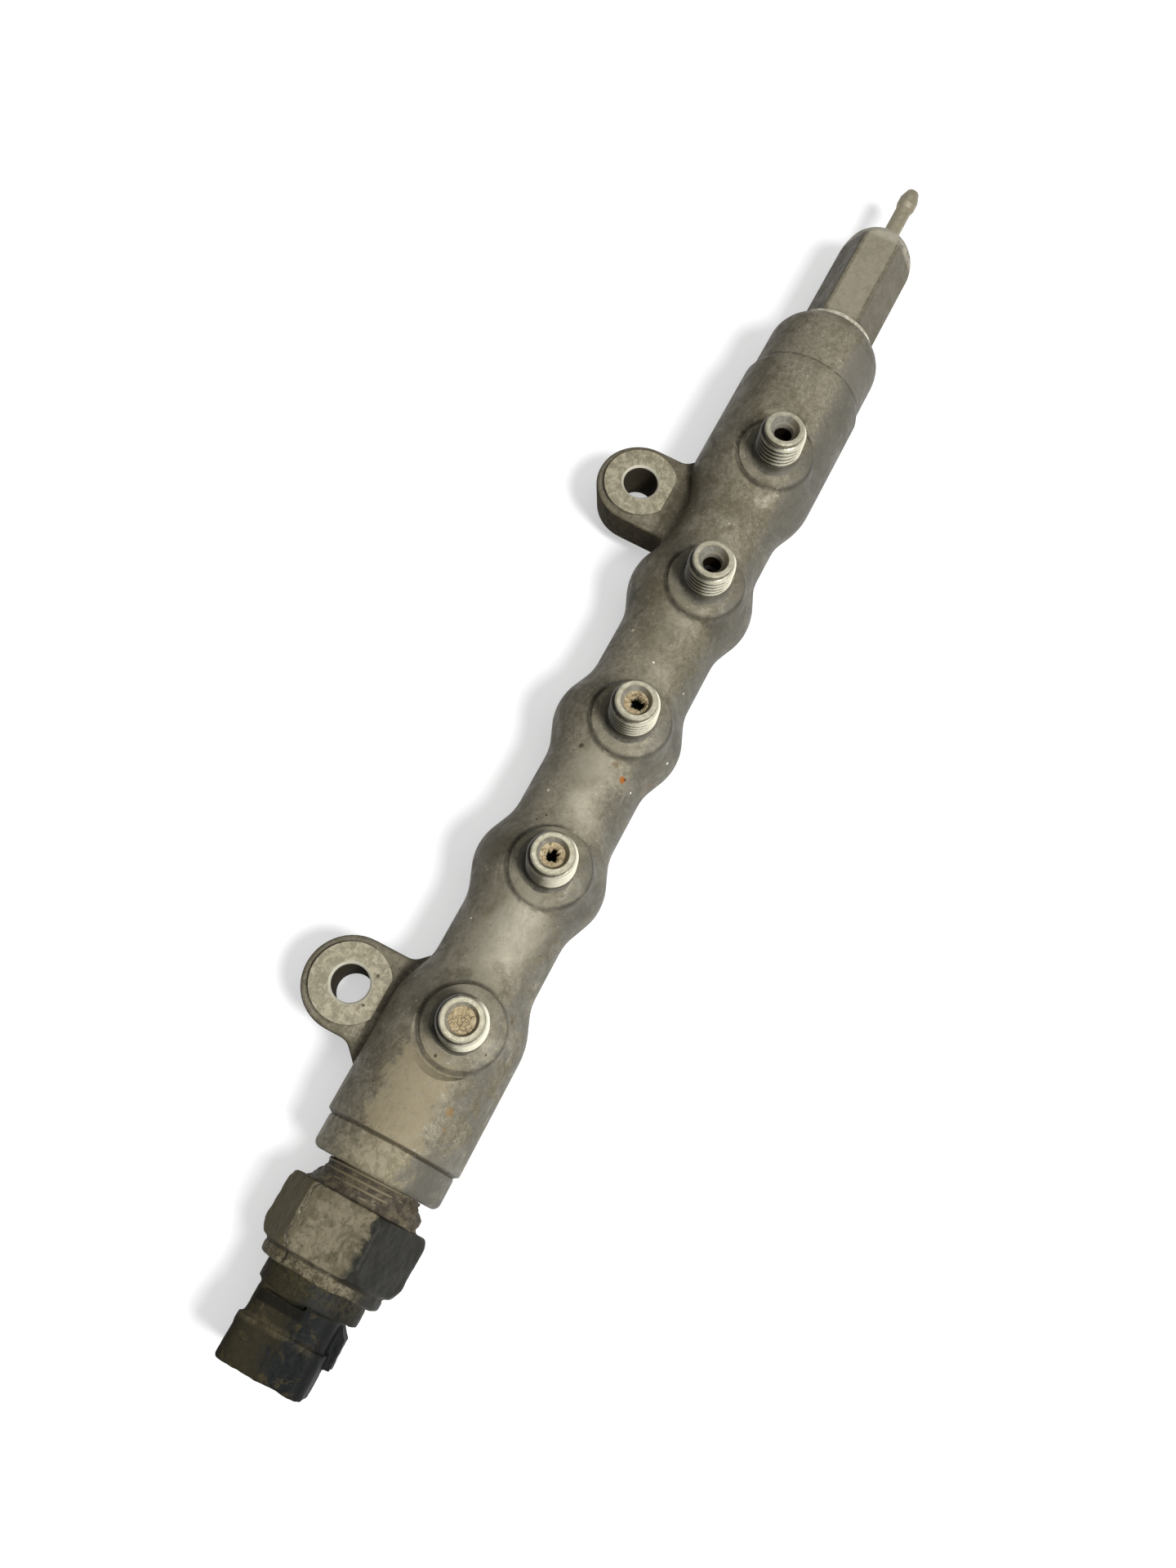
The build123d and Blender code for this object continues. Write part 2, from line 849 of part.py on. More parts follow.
with BuildPart() as connector_seal_ring:
    with BuildSketch(along()):
        with Locations((seal_place, seal_centre)):
            Circle(seal_ring_radius)
    revolve(axis=rail_axis)
connector_seal_ring.part.label = "connector_seal_ring"

pins = []
for pin_place in pin_places:
    with BuildPart() as terminal_pin:
        with BuildSketch(plug_plane(board_back)):
            with Locations(pin_place):
                Rectangle(pin_width, pin_thickness)
        extrude(amount=board_back - socket_floor + pin_reach)
        pin_tip = terminal_pin.faces().sort_by(Axis.X)[0]
        chamfer(pin_tip.edges(), pin_thickness / 4)
    terminal_pin.part.label = f"terminal_pin_{len(pins) + 1}"
    pins.append(terminal_pin.part)

os.makedirs("parts", exist_ok=True)
export_step(rail_body.part, "parts/rail_body.step")
for bush in bushes:
    export_step(bush, f"parts/{bush.label}.step")
export_step(limiter_valve_seat.part, "parts/limiter_valve_seat.step")
export_step(limiter_valve_guide.part, "parts/limiter_valve_guide.step")
export_step(limiter_valve.part, "parts/limiter_valve.step")
export_step(limiter_spring_plate.part, "parts/limiter_spring_plate.step")
export_step(limiter_spring.part, "parts/limiter_spring.step")
export_step(limiter_shim.part, "parts/limiter_shim.step")
export_step(limiter_gasket.part, "parts/limiter_gasket.step")
export_step(limiter_housing.part, "parts/limiter_housing.step")
export_step(leak_off_pipe.part, "parts/leak_off_pipe.step")
export_step(sensor_gasket.part, "parts/sensor_gasket.step")
export_step(sensor_housing.part, "parts/sensor_housing.step")
export_step(sensing_stem.part, "parts/sensing_stem.step")
export_step(stem_clamp_screw.part, "parts/stem_clamp_screw.step")
export_step(strain_chip.part, "parts/strain_chip.step")
export_step(sensor_circuit_board.part, "parts/sensor_circuit_board.step")
export_step(connector_housing.part, "parts/connector_housing.step")
export_step(connector_seal_ring.part, "parts/connector_seal_ring.step")
for pin in pins:
    export_step(pin, f"parts/{pin.label}.step")
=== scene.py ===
import math

import bmesh
import bpy
from mathutils import Matrix, Vector, noise


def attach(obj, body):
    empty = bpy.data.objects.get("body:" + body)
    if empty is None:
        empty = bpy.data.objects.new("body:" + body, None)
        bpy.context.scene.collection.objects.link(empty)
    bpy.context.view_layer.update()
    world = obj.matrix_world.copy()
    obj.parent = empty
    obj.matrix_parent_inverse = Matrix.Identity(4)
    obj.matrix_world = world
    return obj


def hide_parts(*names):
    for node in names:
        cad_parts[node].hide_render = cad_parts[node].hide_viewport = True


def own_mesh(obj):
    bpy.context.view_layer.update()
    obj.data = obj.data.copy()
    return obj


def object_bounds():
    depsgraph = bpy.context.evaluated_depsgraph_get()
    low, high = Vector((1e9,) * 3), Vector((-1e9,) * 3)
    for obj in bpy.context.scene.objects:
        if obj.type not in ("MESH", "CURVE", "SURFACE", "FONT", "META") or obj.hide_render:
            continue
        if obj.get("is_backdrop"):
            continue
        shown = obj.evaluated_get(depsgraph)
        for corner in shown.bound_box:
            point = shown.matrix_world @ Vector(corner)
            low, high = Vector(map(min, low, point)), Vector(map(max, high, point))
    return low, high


bl_info = {
    "name": "Weathered fuel rail",
    "version": (1, 0, 0),
    "blender": (4, 5, 0),
    "location": "3D View > Sidebar > Fuel rail",
    "description": "Dresses a used common-rail fuel rail: threads, worn plating, rust and dried mud",
    "category": "Add Mesh",
}

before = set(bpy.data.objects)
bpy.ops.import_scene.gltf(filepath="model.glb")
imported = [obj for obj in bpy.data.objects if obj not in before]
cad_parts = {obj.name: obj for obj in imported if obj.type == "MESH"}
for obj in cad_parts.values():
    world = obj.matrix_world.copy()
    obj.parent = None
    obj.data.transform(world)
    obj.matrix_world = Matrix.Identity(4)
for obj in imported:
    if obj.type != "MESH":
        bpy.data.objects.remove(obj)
cad_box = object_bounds()

MM = 0.001
# The rail's axis in the frame. All lengths below are in millimetres from it:
# along the rail, to the side that the lugs are on, and up.
RAIL = Vector((9.3, -26.2, 11.5)) * MM
OUTLETS = [82.2, 41.1, 0.0, -41.1, -82.2]
OUTLET_SIDE = -2.5
SEAT = 15.1
NIPPLE = 6.0
THREAD_END = 26.0
THREAD_START = 17.0
THREAD_TAPER = 24.4
TAPER_SLOPE = 0.55
TIP = 26.5
LUG_HOLES = (65.2, -83.8)
LUG_SIDE = 26.2
NECK_START = -124.3
SENSOR_HEXAGON = -124.2
SENSOR_LIP = -142.6
# A point nearer than this to a radius lies on it.
ON_RADIUS = 0.02
# Roughness of a noise and gloss of a finish where several share one
PLAIN_NOISE = 0.5
MUDDY_GLOSS = 0.12
UPWARD = Vector((0, 0, 1))
ALONG = Vector((1, 0, 0))


def paint(red, green, bluish_tone_and_shade):
    """Linear colour of a tone given as it looks on screen, from 0 to 255."""
    tone = [v / 255 for v in (red, green, bluish_tone_and_shade)]
    return tuple(v / 12.92 if v <= 0.04045 else ((v + 0.055) / 1.055) ** 2.4 for v in tone)


def length_property(name, description, default):
    return bpy.props.FloatProperty(
        name=name, description=description, default=default * MM, unit="LENGTH", min=0.0, precision=5
    )


def level_property(name, description, default):
    return bpy.props.FloatProperty(name=name, description=description, default=default)


def colour_property(name, description, default):
    return bpy.props.FloatVectorProperty(
        name=name, description=description, default=default, subtype="COLOR", size=3, min=0, max=1
    )


class RailSizes(bpy.types.PropertyGroup):
    """Sizes of what the scene adds to the solids."""

    outlet_crest: length_property("Outlet thread crest", "Radius over the outlet threads", 5.85)
    outlet_root: length_property("Outlet thread root", "Radius at the bottom of the outlet threads", 5.15)
    outlet_lead: length_property("Outlet thread pitch", "Pitch of the outlet threads", 1.5)
    neck_crest: length_property("Sensor thread crest", "Radius over the sensor's thread", 11.0)
    neck_root: length_property("Sensor thread root", "Radius at the bottom of the sensor's thread", 10.1)
    neck_lead: length_property("Sensor thread pitch", "Pitch of the sensor's thread", 1.5)


class RailColours(bpy.types.PropertyGroup):
    """Colours of the finishes."""

    plating: colour_property("Plating", "Grey of the dulled zinc plating", paint(132, 126, 109))
    patina: colour_property("Patina", "Olive brown of the grime in the plating", paint(94, 87, 69))
    # Also laid into the collar's crease, where it is partly painted shade.
    shade: colour_property("Grime", "Dark grime in pits and corners", paint(58, 52, 40))
    dust: colour_property("Dust", "Dried mud film", paint(138, 127, 101))
    mud: colour_property("Mud", "Caked dry mud", paint(176, 159, 124))
    rust: colour_property("Rust", "Rust stains", paint(150, 90, 34))
    bare: colour_property("Bare steel", "Threads and worn edges", paint(214, 208, 188))
    plastic: colour_property("Plastic", "Black plastic of the plug connector", paint(26, 29, 30))


class StudioValues(bpy.types.PropertyGroup):
    """Lamp powers and sky level."""

    key_power: level_property("Key light", "Power of the soft lamp at the side", 1.05)
    fill_power: level_property("Fill light", "Power of the lamp over the object", 0.18)
    sky_level: level_property("Sky", "Strength of the even light", 0.14)


class Value:
    """A node's output, on which sums and masks are written as plain arithmetic."""

    def __init__(self, tree, socket):
        self.tree = tree
        self.socket = socket

    def __add__(self, other):
        return maths(self.tree, "ADD", self, other)

    def __sub__(self, other):
        return maths(self.tree, "SUBTRACT", self, other)

    def __rsub__(self, other):
        return maths(self.tree, "SUBTRACT", other, self)

    def __mul__(self, other):
        return maths(self.tree, "MULTIPLY", self, other)

    def larger(self, other):
        return maths(self.tree, "MAXIMUM", self, other)

    def ramp(self, low, high, to_low=0.0, to_high=1.0):
        """Smooth step between two marks."""
        inputs = {"Value": self, "From Min": low, "From Max": high, "To Min": to_low, "To Max": to_high}
        return add(self.tree, "ShaderNodeMapRange", inputs, interpolation_type="SMOOTHSTEP")[0]

    def band(self, low, high, soft):
        """Mask between two marks."""
        return self.ramp(low - soft, low + soft) * self.ramp(high + soft, high - soft)

    def mix(self, first, second):
        """Two colours, mixed by this mask."""
        return mix(self.tree, self, first, second)

    def blend(self, first, second):
        """Two numbers, mixed by this mask."""
        inputs = {0: self, 2: first, 3: second}
        return add(self.tree, "ShaderNodeMix", inputs, data_type="FLOAT", clamp_factor=True)[0]

    def grey(self):
        return add(self.tree, "ShaderNodeCombineColor", {0: self, 1: self, 2: self})[0]

    def noise(self, scale, detail=5, roughness=0.6, distortion=0.0):
        inputs = {"Vector": self, "Scale": scale, "Detail": detail, "Roughness": roughness}
        return add(self.tree, "ShaderNodeTexNoise", {**inputs, "Distortion": distortion})[0]

    def cells(self, scale, **settings):
        inputs = {"Vector": self, "Scale": scale, "Randomness": 1.0}
        return add(self.tree, "ShaderNodeTexVoronoi", inputs, **settings)

    def vector(self, operation, other, output=0):
        return add(self.tree, "ShaderNodeVectorMath", {0: self, 1: other}, operation=operation)[output]

    def scaled(self, scale):
        return add(self.tree, "ShaderNodeVectorMath", {0: self, "Scale": scale}, operation="SCALE")[0]

    def length(self):
        return add(self.tree, "ShaderNodeVectorMath", {0: self}, operation="LENGTH")["Value"]

    def split(self):
        return add(self.tree, "ShaderNodeSeparateXYZ", {0: self})


class Outputs:
    """A node whose outputs are read as values, by name or number."""

    def __init__(self, tree, node):
        self.tree = tree
        self.node = node

    def __getitem__(self, key):
        return Value(self.tree, self.node.outputs[key])


class Coats:
    """A colour built up coat by coat, each showing where its mask lets it."""

    def __init__(self, colour):
        self.colour = colour

    def add(self, mask, tone):
        self.colour = mask.mix(self.colour, tone)


def fill(tree, inputs, values):
    """Links or sets a node's inputs."""
    for key, value in (values or {}).items():
        socket = inputs[key]
        if isinstance(value, Value):
            tree.links.new(value.socket, socket)
        elif socket.type == "RGBA" and len(value) == 3:
            socket.default_value = (*value, 1)
        else:
            socket.default_value = value


def add(tree, kind, inputs=None, **settings):
    """Adds a node, sets its properties, and fills or links its inputs."""
    made = tree.nodes.new(kind)
    for key, value in settings.items():
        setattr(made, key, value)
    fill(tree, made.inputs, inputs)
    return Outputs(tree, made)


def maths(tree, operation, *values):
    return add(tree, "ShaderNodeMath", dict(enumerate(values)), operation=operation)[0]


def mix(tree, factor, first, second, blend="MIX"):
    """Two colours mixed; one given as a tuple is a tone as it looks on screen."""
    first, second = (paint(*tone) if isinstance(tone, tuple) else tone for tone in (first, second))
    inputs = {0: factor, 6: first, 7: second}
    return add(tree, "ShaderNodeMix", inputs, data_type="RGBA", blend_type=blend, clamp_factor=True)[2]


FLOAT = "NodeSocketFloat"
COLOUR = "NodeSocketColor"
VECTOR = "NodeSocketVector"


def new_group(name, inputs, outputs):
    """An empty node group with named sockets, given as {name: (type, default)}, and its inputs."""
    group = bpy.data.node_groups.new(name, "ShaderNodeTree")
    for label, (kind, default) in inputs.items():
        socket = group.interface.new_socket(label, in_out="INPUT", socket_type=kind)
        socket.default_value = (*default, 1) if kind == COLOUR else default
    for label, kind in outputs.items():
        group.interface.new_socket(label, in_out="OUTPUT", socket_type=kind)
    return group, Outputs(group, group.nodes.new("NodeGroupInput"))


def give(group, values):
    """Links what a group puts out."""
    fill(group, group.nodes.new("NodeGroupOutput").inputs, values)
    return group


def build_rail_place():
    """Millimetres along the rail, sideways, up, out from its axis, and degrees round it."""
    outputs = {"Place": VECTOR, "Along": FLOAT, "Side": FLOAT, "Up": FLOAT, "Out": FLOAT, "Round": FLOAT}
    group = new_group("Rail place", {}, outputs)[0]
    place = add(group, "ShaderNodeTexCoord")["Object"].vector("SUBTRACT", RAIL).scaled(1000)
    parts = place.split()
    out = add(group, "ShaderNodeCombineXYZ", {1: parts[1], 2: parts[2]})[0].length()
    angle = maths(group, "DEGREES", maths(group, "ARCTAN2", parts[2], parts[1]))
    return give(group, dict(enumerate((place, parts[0], parts[1], parts[2], out, angle))))


def build_outlet_place():
    """Millimetres out from the nearest outlet's axis, and far off beyond the last outlets."""
    group, taken = new_group("Outlet place", {"Place": (VECTOR, (0, 0, 0))}, {"Radius": FLOAT})
    parts = taken["Place"].split()
    pitch = OUTLETS[0] - OUTLETS[1]
    near = maths(group, "WRAP", parts[0], pitch / 2, -pitch / 2)
    out = add(group, "ShaderNodeCombineXYZ", {0: near, 1: parts[1] - OUTLET_SIDE})[0].length()
    beyond = maths(group, "ABSOLUTE", parts[0]).ramp(OUTLETS[0] + 18, OUTLETS[0] + 19, 0, 100)
    return give(group, {"Radius": out + beyond})


def build_spot():
    """One soft round mark with a ragged edge."""
    inputs = {"Place": (VECTOR, (0, 0, 0)), "Centre": (VECTOR, (0, 0, 0))}
    inputs |= {"Radius": (FLOAT, 1), "Edge": (FLOAT, 0.5), "Ragged": (FLOAT, 0.5)}
    group, taken = new_group("Spot", inputs, {"Mask": FLOAT})
    away = taken["Place"].vector("DISTANCE", taken["Centre"], "Value")
    shake = (taken["Place"].noise(0.9, 4, PLAIN_NOISE) - 0.5) * taken["Ragged"]
    outer = taken["Radius"] + taken["Edge"]
    return give(group, {"Mask": (away + shake).ramp(outer, taken["Radius"])})


def build_weathering():
    """Dulled plating: blotches of two tones, dark specks, bright chips, scratches and pits."""
    grey = (COLOUR, (0.3, 0.3, 0.3))
    inputs = {"Place": (VECTOR, (0, 0, 0)), "Plating": grey, "Patina": grey, "Grime": grey, "Bare": grey}
    inputs |= {"Blotches": (FLOAT, 0.5), "Specks": (FLOAT, 0.5), "Chips": (FLOAT, 0.5)}
    group, taken = new_group("Weathering", inputs, {"Colour": COLOUR, "Roughness": FLOAT, "Height": FLOAT})
    place = taken["Place"]
    broad = place.noise(0.05, 6, 0.62, 0.6)
    cloud = place.noise(0.2, 8, 0.72, 0.8)
    grain = place.noise(0.9, 6, 0.7)
    sand = place.noise(3.6, 3, 0.6)

    def lot(cells, channel):
        """A number that differs from cell to cell."""
        return add(group, "ShaderNodeSeparateColor", {0: cells["Color"]})[channel]

    tone = (broad * 0.5 + cloud * 0.5).ramp(0.41, 0.6) * taken["Blotches"]
    base = tone.mix(taken["Plating"], taken["Patina"])
    base = mix(group, 1.0, base, grain.ramp(0.3, 0.72, 0.76, 1.24).grey(), "MULTIPLY")
    base = mix(group, 1.0, base, sand.ramp(0.3, 0.72, 0.86, 1.14).grey(), "MULTIPLY")
    stain = place.noise(0.45, 8, 0.75, 1.6).ramp(0.57, 0.7)
    base = (stain * 0.35).mix(base, taken["Grime"])

    specks = place.cells(0.62)
    dot = (specks["Distance"] + sand * 0.25).ramp(0.28, 0.19)
    dark = dot * lot(specks, 0).ramp(0.5, 0.4) * cloud.ramp(0.42, 0.58) * taken["Specks"]
    base = dark.mix(base, taken["Grime"])

    chips = place.cells(0.3)
    chip = (chips["Distance"] + sand * 0.16).ramp(0.175, 0.13)
    chip = chip * lot(chips, 1).ramp(0.8, 0.84) * taken["Chips"]
    streaks = {"Vector": place, "Rotation": (0.3, 0.4, 0.9), "Scale": (0.12, 1.5, 1.5)}
    scratch = add(group, "ShaderNodeMapping", streaks)[0].cells(0.32)
    line = scratch["Distance"].ramp(0.1, 0.06) * lot(scratch, 2).ramp(0.78, 0.8) * taken["Chips"]
    flecks = place.cells(0.8)
    fleck = flecks["Distance"].ramp(0.19, 0.12) * lot(flecks, 0).ramp(0.8, 0.86) * taken["Chips"]
    bright = (chip * 0.8).larger(line.larger(fleck) * 0.4)
    base = bright.mix(base, taken["Bare"])
    rough = cloud.ramp(0.3, 0.7, 0.44, 0.66) - bright * 0.2
    height = grain * 0.4 + sand * 0.1 + cloud * 0.9 - dark * 0.5
    return give(group, {"Colour": base, "Roughness": rough, "Height": height})


GROUP_MAKERS = {
    "Rail place": build_rail_place,
    "Outlet place": build_outlet_place,
    "Spot": build_spot,
    "Weathering": build_weathering,
}


def use(tree, name, inputs=None):
    """Places a shared node group, building it the first time."""
    group = bpy.data.node_groups.get(name) or GROUP_MAKERS[name]()
    made = add(tree, "ShaderNodeGroup", node_tree=group)
    fill(tree, made.node.inputs, inputs)
    return made


def new_material(name):
    """A material with its tree and its Principled shader."""
    material = bpy.data.materials.new(name)
    material.use_nodes = True
    tree = material.node_tree
    return material, tree, tree.nodes["Principled BSDF"]


def rail_material(name):
    """A new material and the places that its patterns follow."""
    material, tree, shader = new_material(name)
    return material, tree, shader, use(tree, "Rail place")


def finish_surface(tree, shader, colour, roughness, height, depth, metallic, gloss=0.5):
    """Feeds the shader, and turns a height times a depth in millimetres into a bump."""
    bump = add(tree, "ShaderNodeBump", {"Strength": 1.0, "Distance": depth * MM, "Height": height})
    inputs = {"Base Color": colour, "Roughness": roughness, "Metallic": metallic, "Normal": bump[0]}
    fill(tree, shader.inputs, {**inputs, "Specular IOR Level": gloss})


def dress_node(node, material):
    """A CAD node keeps its shape and gets a better material."""
    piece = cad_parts[node]
    if not piece.material_slots:
        piece.data.materials.append(material)
    for place in piece.material_slots:
        place.link = "OBJECT"
        place.material = material


def new_piece(name, bm, material, smooth=40):
    """Turns a bmesh, built in place, into a piece that rides on the rail."""
    bmesh.ops.remove_doubles(bm, verts=bm.verts, dist=1e-7)
    bmesh.ops.recalc_face_normals(bm, faces=bm.faces)
    mesh = bpy.data.meshes.new(name)
    mesh.materials.append(material)
    bm.to_mesh(mesh)
    bm.free()
    mesh.shade_smooth()
    mesh.set_sharp_from_angle(angle=math.radians(smooth))
    piece = bpy.data.objects.new(name, mesh)
    bpy.context.scene.collection.objects.link(piece)
    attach(piece, "rail")
    return piece


def merged_copy(node):
    """A bmesh of a CAD node with its loose triangles joined."""
    bm = bmesh.new()
    bm.from_mesh(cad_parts[node].data)
    bmesh.ops.remove_doubles(bm, verts=bm.verts, dist=1e-6)
    return bm


def softened(bm, voxel, passes):
    """Turns a closed bmesh into small even faces with its edges rounded over."""
    mesh = bpy.data.meshes.new("softened")
    bm.to_mesh(mesh)
    bm.free()
    source = bpy.data.objects.new("softened", mesh)
    bpy.context.scene.collection.objects.link(source)
    remesh = source.modifiers.new("even faces", "REMESH")
    remesh.mode = "VOXEL"
    remesh.voxel_size = voxel * MM
    rounding = source.modifiers.new("rounding", "SMOOTH")
    rounding.factor = 0.5
    rounding.iterations = passes
    made = source.evaluated_get(bpy.context.evaluated_depsgraph_get()).to_mesh()
    result = bmesh.new()
    result.from_mesh(made)
    bpy.data.objects.remove(source)
    bpy.data.meshes.remove(mesh)
    return result


def thread_ridge(bm, centre, axis, root, crest, lead, start, turns, steps=40):
    """Adds one helical ridge: a ridge profile spun round an axis while it climbs."""
    out = axis.orthogonal().normalized()
    inner, rounded = root - 0.12 * MM, crest - 0.04 * MM
    # Radius, and share of one turn's climb; the foot is narrower, so that turns never touch
    profile = [
        (inner, 0.0),
        (root, 0.06),
        (rounded, 0.43),
        (crest, 0.5),
        (rounded, 0.57),
        (root, 0.94),
        (inner, 0.98),
    ]
    points = [
        bm.verts.new(centre + out * radius + axis * (start + share * lead)) for radius, share in profile
    ]
    face = bm.faces.new(points)
    count = int(steps * turns)
    bmesh.ops.spin(
        bm,
        geom=[face],
        cent=centre,
        axis=axis,
        dvec=axis * (lead / steps),
        angle=math.tau * count / steps,
        steps=count,
        use_duplicate=False,
    )
    open_edges = [edge for edge in bm.edges if len(edge.link_faces) == 1]
    if open_edges:
        bmesh.ops.holes_fill(bm, edges=open_edges)


def spun(centre, axis, points, steps):
    """A bmesh of a profile spun all the way round, without the profile's own face."""
    bm = bmesh.new()
    profile = bm.faces.new([bm.verts.new(point) for point in points])
    bmesh.ops.spin(
        bm,
        geom=[profile],
        cent=centre,
        axis=axis,
        angle=math.tau,
        steps=steps,
        use_merge=True,
        use_duplicate=False,
    )
    bmesh.ops.delete(bm, geom=[face for face in bm.faces if len(face.verts) > 4], context="FACES_ONLY")
    return bm


def uneven(turn, scale, second, number):
    """An edge's swing out and in at a direction, different for each piece."""
    seed = Vector((0, 0, number))
    return noise.noise(turn * scale + seed) + second * noise.noise(turn * 5 + seed)


def zinc_tones(tree, place, colours):
    """The weathering shared by the zinc-plated pieces."""
    inputs = {"Place": place, "Blotches": 0.8, "Specks": 0.8, "Chips": 0.8, "Bare": colours.bare}
    inputs |= {"Plating": colours.plating, "Patina": colours.patina, "Grime": colours.shade}
    return use(tree, "Weathering", inputs)


def forging_material(colours):
    """Dulled zinc over a forging, dusty towards the sensor, bright on the nipples; painted shade darkens its
    flanks, the nipples' far sides, the seats' rims and the bores.
    """
    material, tree, shader, rail = rail_material("worn zinc forging")
    where = rail["Place"]
    along, side, up = rail["Along"], rail["Side"], rail["Up"]
    outlet = use(tree, "Outlet place", {"Place": where})["Radius"]
    worn = zinc_tones(tree, where, colours)
    coats = Coats(worn["Colour"])
    height, rough = worn["Height"], worn["Roughness"]
    cloud = where.noise(0.12, 7, 0.68, 1.4)
    fine = where.noise(0.6, 6, 0.7, 0.6)
    shift = (cloud - 0.5) * 26
    shake = (fine - 0.5) * 5

    pale = (along + shift).band(-80, -18, 12) * cloud.ramp(0.35, 0.6) * side.ramp(-10, -4)
    coats.add(pale * 0.45, (146, 141, 125))
    strip = (side + shift * 0.35).band(-6, 3.5, 3.5)
    coats.add(strip * cloud.ramp(0.3, 0.6, 0.1, 0.45) * along.ramp(60, 35, 0.2, 1), (142, 136, 118))
    # The +Y flank is painted darker olive brown here, as painted shade.
    left = (side + shift * 0.3).ramp(5.5, 12)
    coats.add(left * along.ramp(-88, -70, 0.15, 0.45), (72, 66, 50))
    # The −Y flank is painted darker: the bluish patches partly as their own tone and partly as painted shade,
    # the even flank band as painted shade. The paler tone above also fades out before that flank.
    bluish_tone_and_shade = (side + shift * 0.6).ramp(-6.5, -9.5) * cloud.ramp(0.42, 0.55)
    coats.add(bluish_tone_and_shade * 0.6, (98, 97, 91))
    flank_shade = (side + shift * 0.25).ramp(-7.5, -12.5) * along.ramp(-62, -40)
    coats.add(flank_shade * along.ramp(40, 80, 0.5, 0.7), (86, 84, 76))
    ends = along + (shift * 0.7 + shake)
    edge = side + (shift * 0.9 + shake)
    film = ends.ramp(-88, -92) * edge.band(-6.5, 7, 1.2) * fine.ramp(0.28, 0.5)
    coats.add(film * 0.7, colours.dust)
    # The collar gets its grey-tan tone on top, and its −Y flank is painted dark blue-grey, partly its own tone
    # and partly painted shade.
    collar = along.ramp(-110.3, -110.8)
    stain = (side + shift * 0.5).ramp(-7.5, -4.5)
    coats.add(collar * stain * 0.6, fine.ramp(0.4, 0.6).mix((146, 138, 117), (100, 94, 76)))
    coats.add(collar * stain.ramp(1, 0) * 0.65, cloud.mix((66, 66, 61), (94, 92, 84)))
    # The crease is painted dark, partly grime and partly painted shade in the groove.
    crease = (along + shake * 0.06).band(-110.9, -110.05, 0.25) * fine.ramp(0.3, 0.45)
    coats.add(crease * 0.75, colours.shade)

    turned = along.band(112.4, 124.5, 0.4)
    coats.add(turned * side.ramp(-6.4, -7.2) * 0.55, (112, 108, 99))
    nose = (along + shake * 0.1).ramp(130.4, 131.2) * side.band(-9, 3, 2) * fine.ramp(0.3, 0.5)
    coats.add(nose * 0.6, (178, 172, 152))
    step = along.band(111.9, 112.6, 0.3) * fine.ramp(0.35, 0.5)
    coats.add(step * 0.6, colours.shade)

    lug = side.ramp(13.2, 14.4)
    pad = up.ramp(1.75, 1.9) * side.ramp(15.2, 15.6) * up.ramp(2.4, 2.2)
    grit = fine.ramp(0.38, 0.6)
    walls = lug * up.ramp(0.9, 0.3)
    coats.add(walls * 0.85, fine.ramp(0.4, 0.62).mix((28, 23, 14), (66, 56, 37)))
    coats.add(pad * grit.ramp(0, 1, 0.95, 0.6), fine.ramp(0.36, 0.64).mix((170, 163, 140), (146, 139, 117)))
    root = side.band(14.0, 17.4, 0.7) * up.ramp(3.2, 1.4) * fine.ramp(0.36, 0.5)
    coats.add(root * (1.0 - pad) * 0.6, colours.shade)
    for x in LUG_HOLES:
        hole = where.vector("SUBTRACT", (x, LUG_SIDE, 0))
        hole = hole.vector("MULTIPLY", (1, 1, 0))
        hole = hole.length()
        coats.add(hole.ramp(5.2, 4.95) * up.ramp(1.4, 1.6), (190, 186, 168))
        # Inside the hole, the wall is painted dark as painted shade.
        coats.add(hole.ramp(4.62, 4.55) * up.ramp(1.6, 1.2) * 0.85, (52, 45, 33))

    annulus = outlet.ramp(9.45, 9.35) * outlet.ramp(5.6, 6.4)
    face = annulus * up.band(SEAT, SEAT, 0.12)
    # The seat face is painted darker next to the nipple, as the nipple's painted shadow, and lighter out
    # towards its rim.
    beyond_shadow = (outlet - shake * 0.15).ramp(7.2, 8.2)
    seat_shadow_tone = beyond_shadow.mix((92, 87, 73), (116, 110, 94))
    coats.add(face * fine.ramp(0.3, 0.6, 0.9, 0.6), seat_shadow_tone)
    # Just outside each seat's rim, the forging is painted dark: partly dirt and partly painted shadow under the
    # rim.
    rim_dirt_and_shadow = (outlet + shake * 0.12).band(9.5, 10.6, 0.4) * up.ramp(SEAT - 3, SEAT - 1)
    coats.add(rim_dirt_and_shadow * cloud.ramp(0.35, 0.6, 0.4, 0.85), (56, 52, 43))

    nipple = outlet.ramp(6.3, 6.2) * up.ramp(SEAT + 0.15, SEAT + 0.4)
    tip = up.ramp(TIP - 1.75, TIP - 1.55)
    steel = fine.ramp(0.35, 0.65).mix((188, 184, 166), (138, 132, 113))
    smooth = fine.ramp(0.35, 0.65).mix((146, 141, 122), (104, 98, 80))
    coats.add(nipple, tip.mix(steel, smooth))
    # A thin dark band under the tip's edge is its painted shadow.
    tip_edge_shadow = nipple * up.band(TIP - 0.62, TIP - 0.42, 0.06) * outlet.ramp(4.6, 4.8)
    coats.add(tip_edge_shadow * 0.8, (52, 46, 35))
    rim = nipple * up.ramp(TIP - 0.4, TIP - 0.25)
    coats.add(rim, fine.ramp(0.3, 0.62).mix((196, 192, 170), (170, 164, 142)))
    # The nipple below its tip is painted darker on the side away from the key lamp, as painted shade, and is
    # made less metallic there.
    shaded_side = (
        nipple
        * side.ramp(OUTLET_SIDE - 1.0, OUTLET_SIDE + 2.5)
        * outlet.ramp(4.8, 4.9)
        * up.ramp(TIP - 0.3, TIP - 0.5)
    )
    coats.add(shaded_side * 0.7, (62, 57, 44))
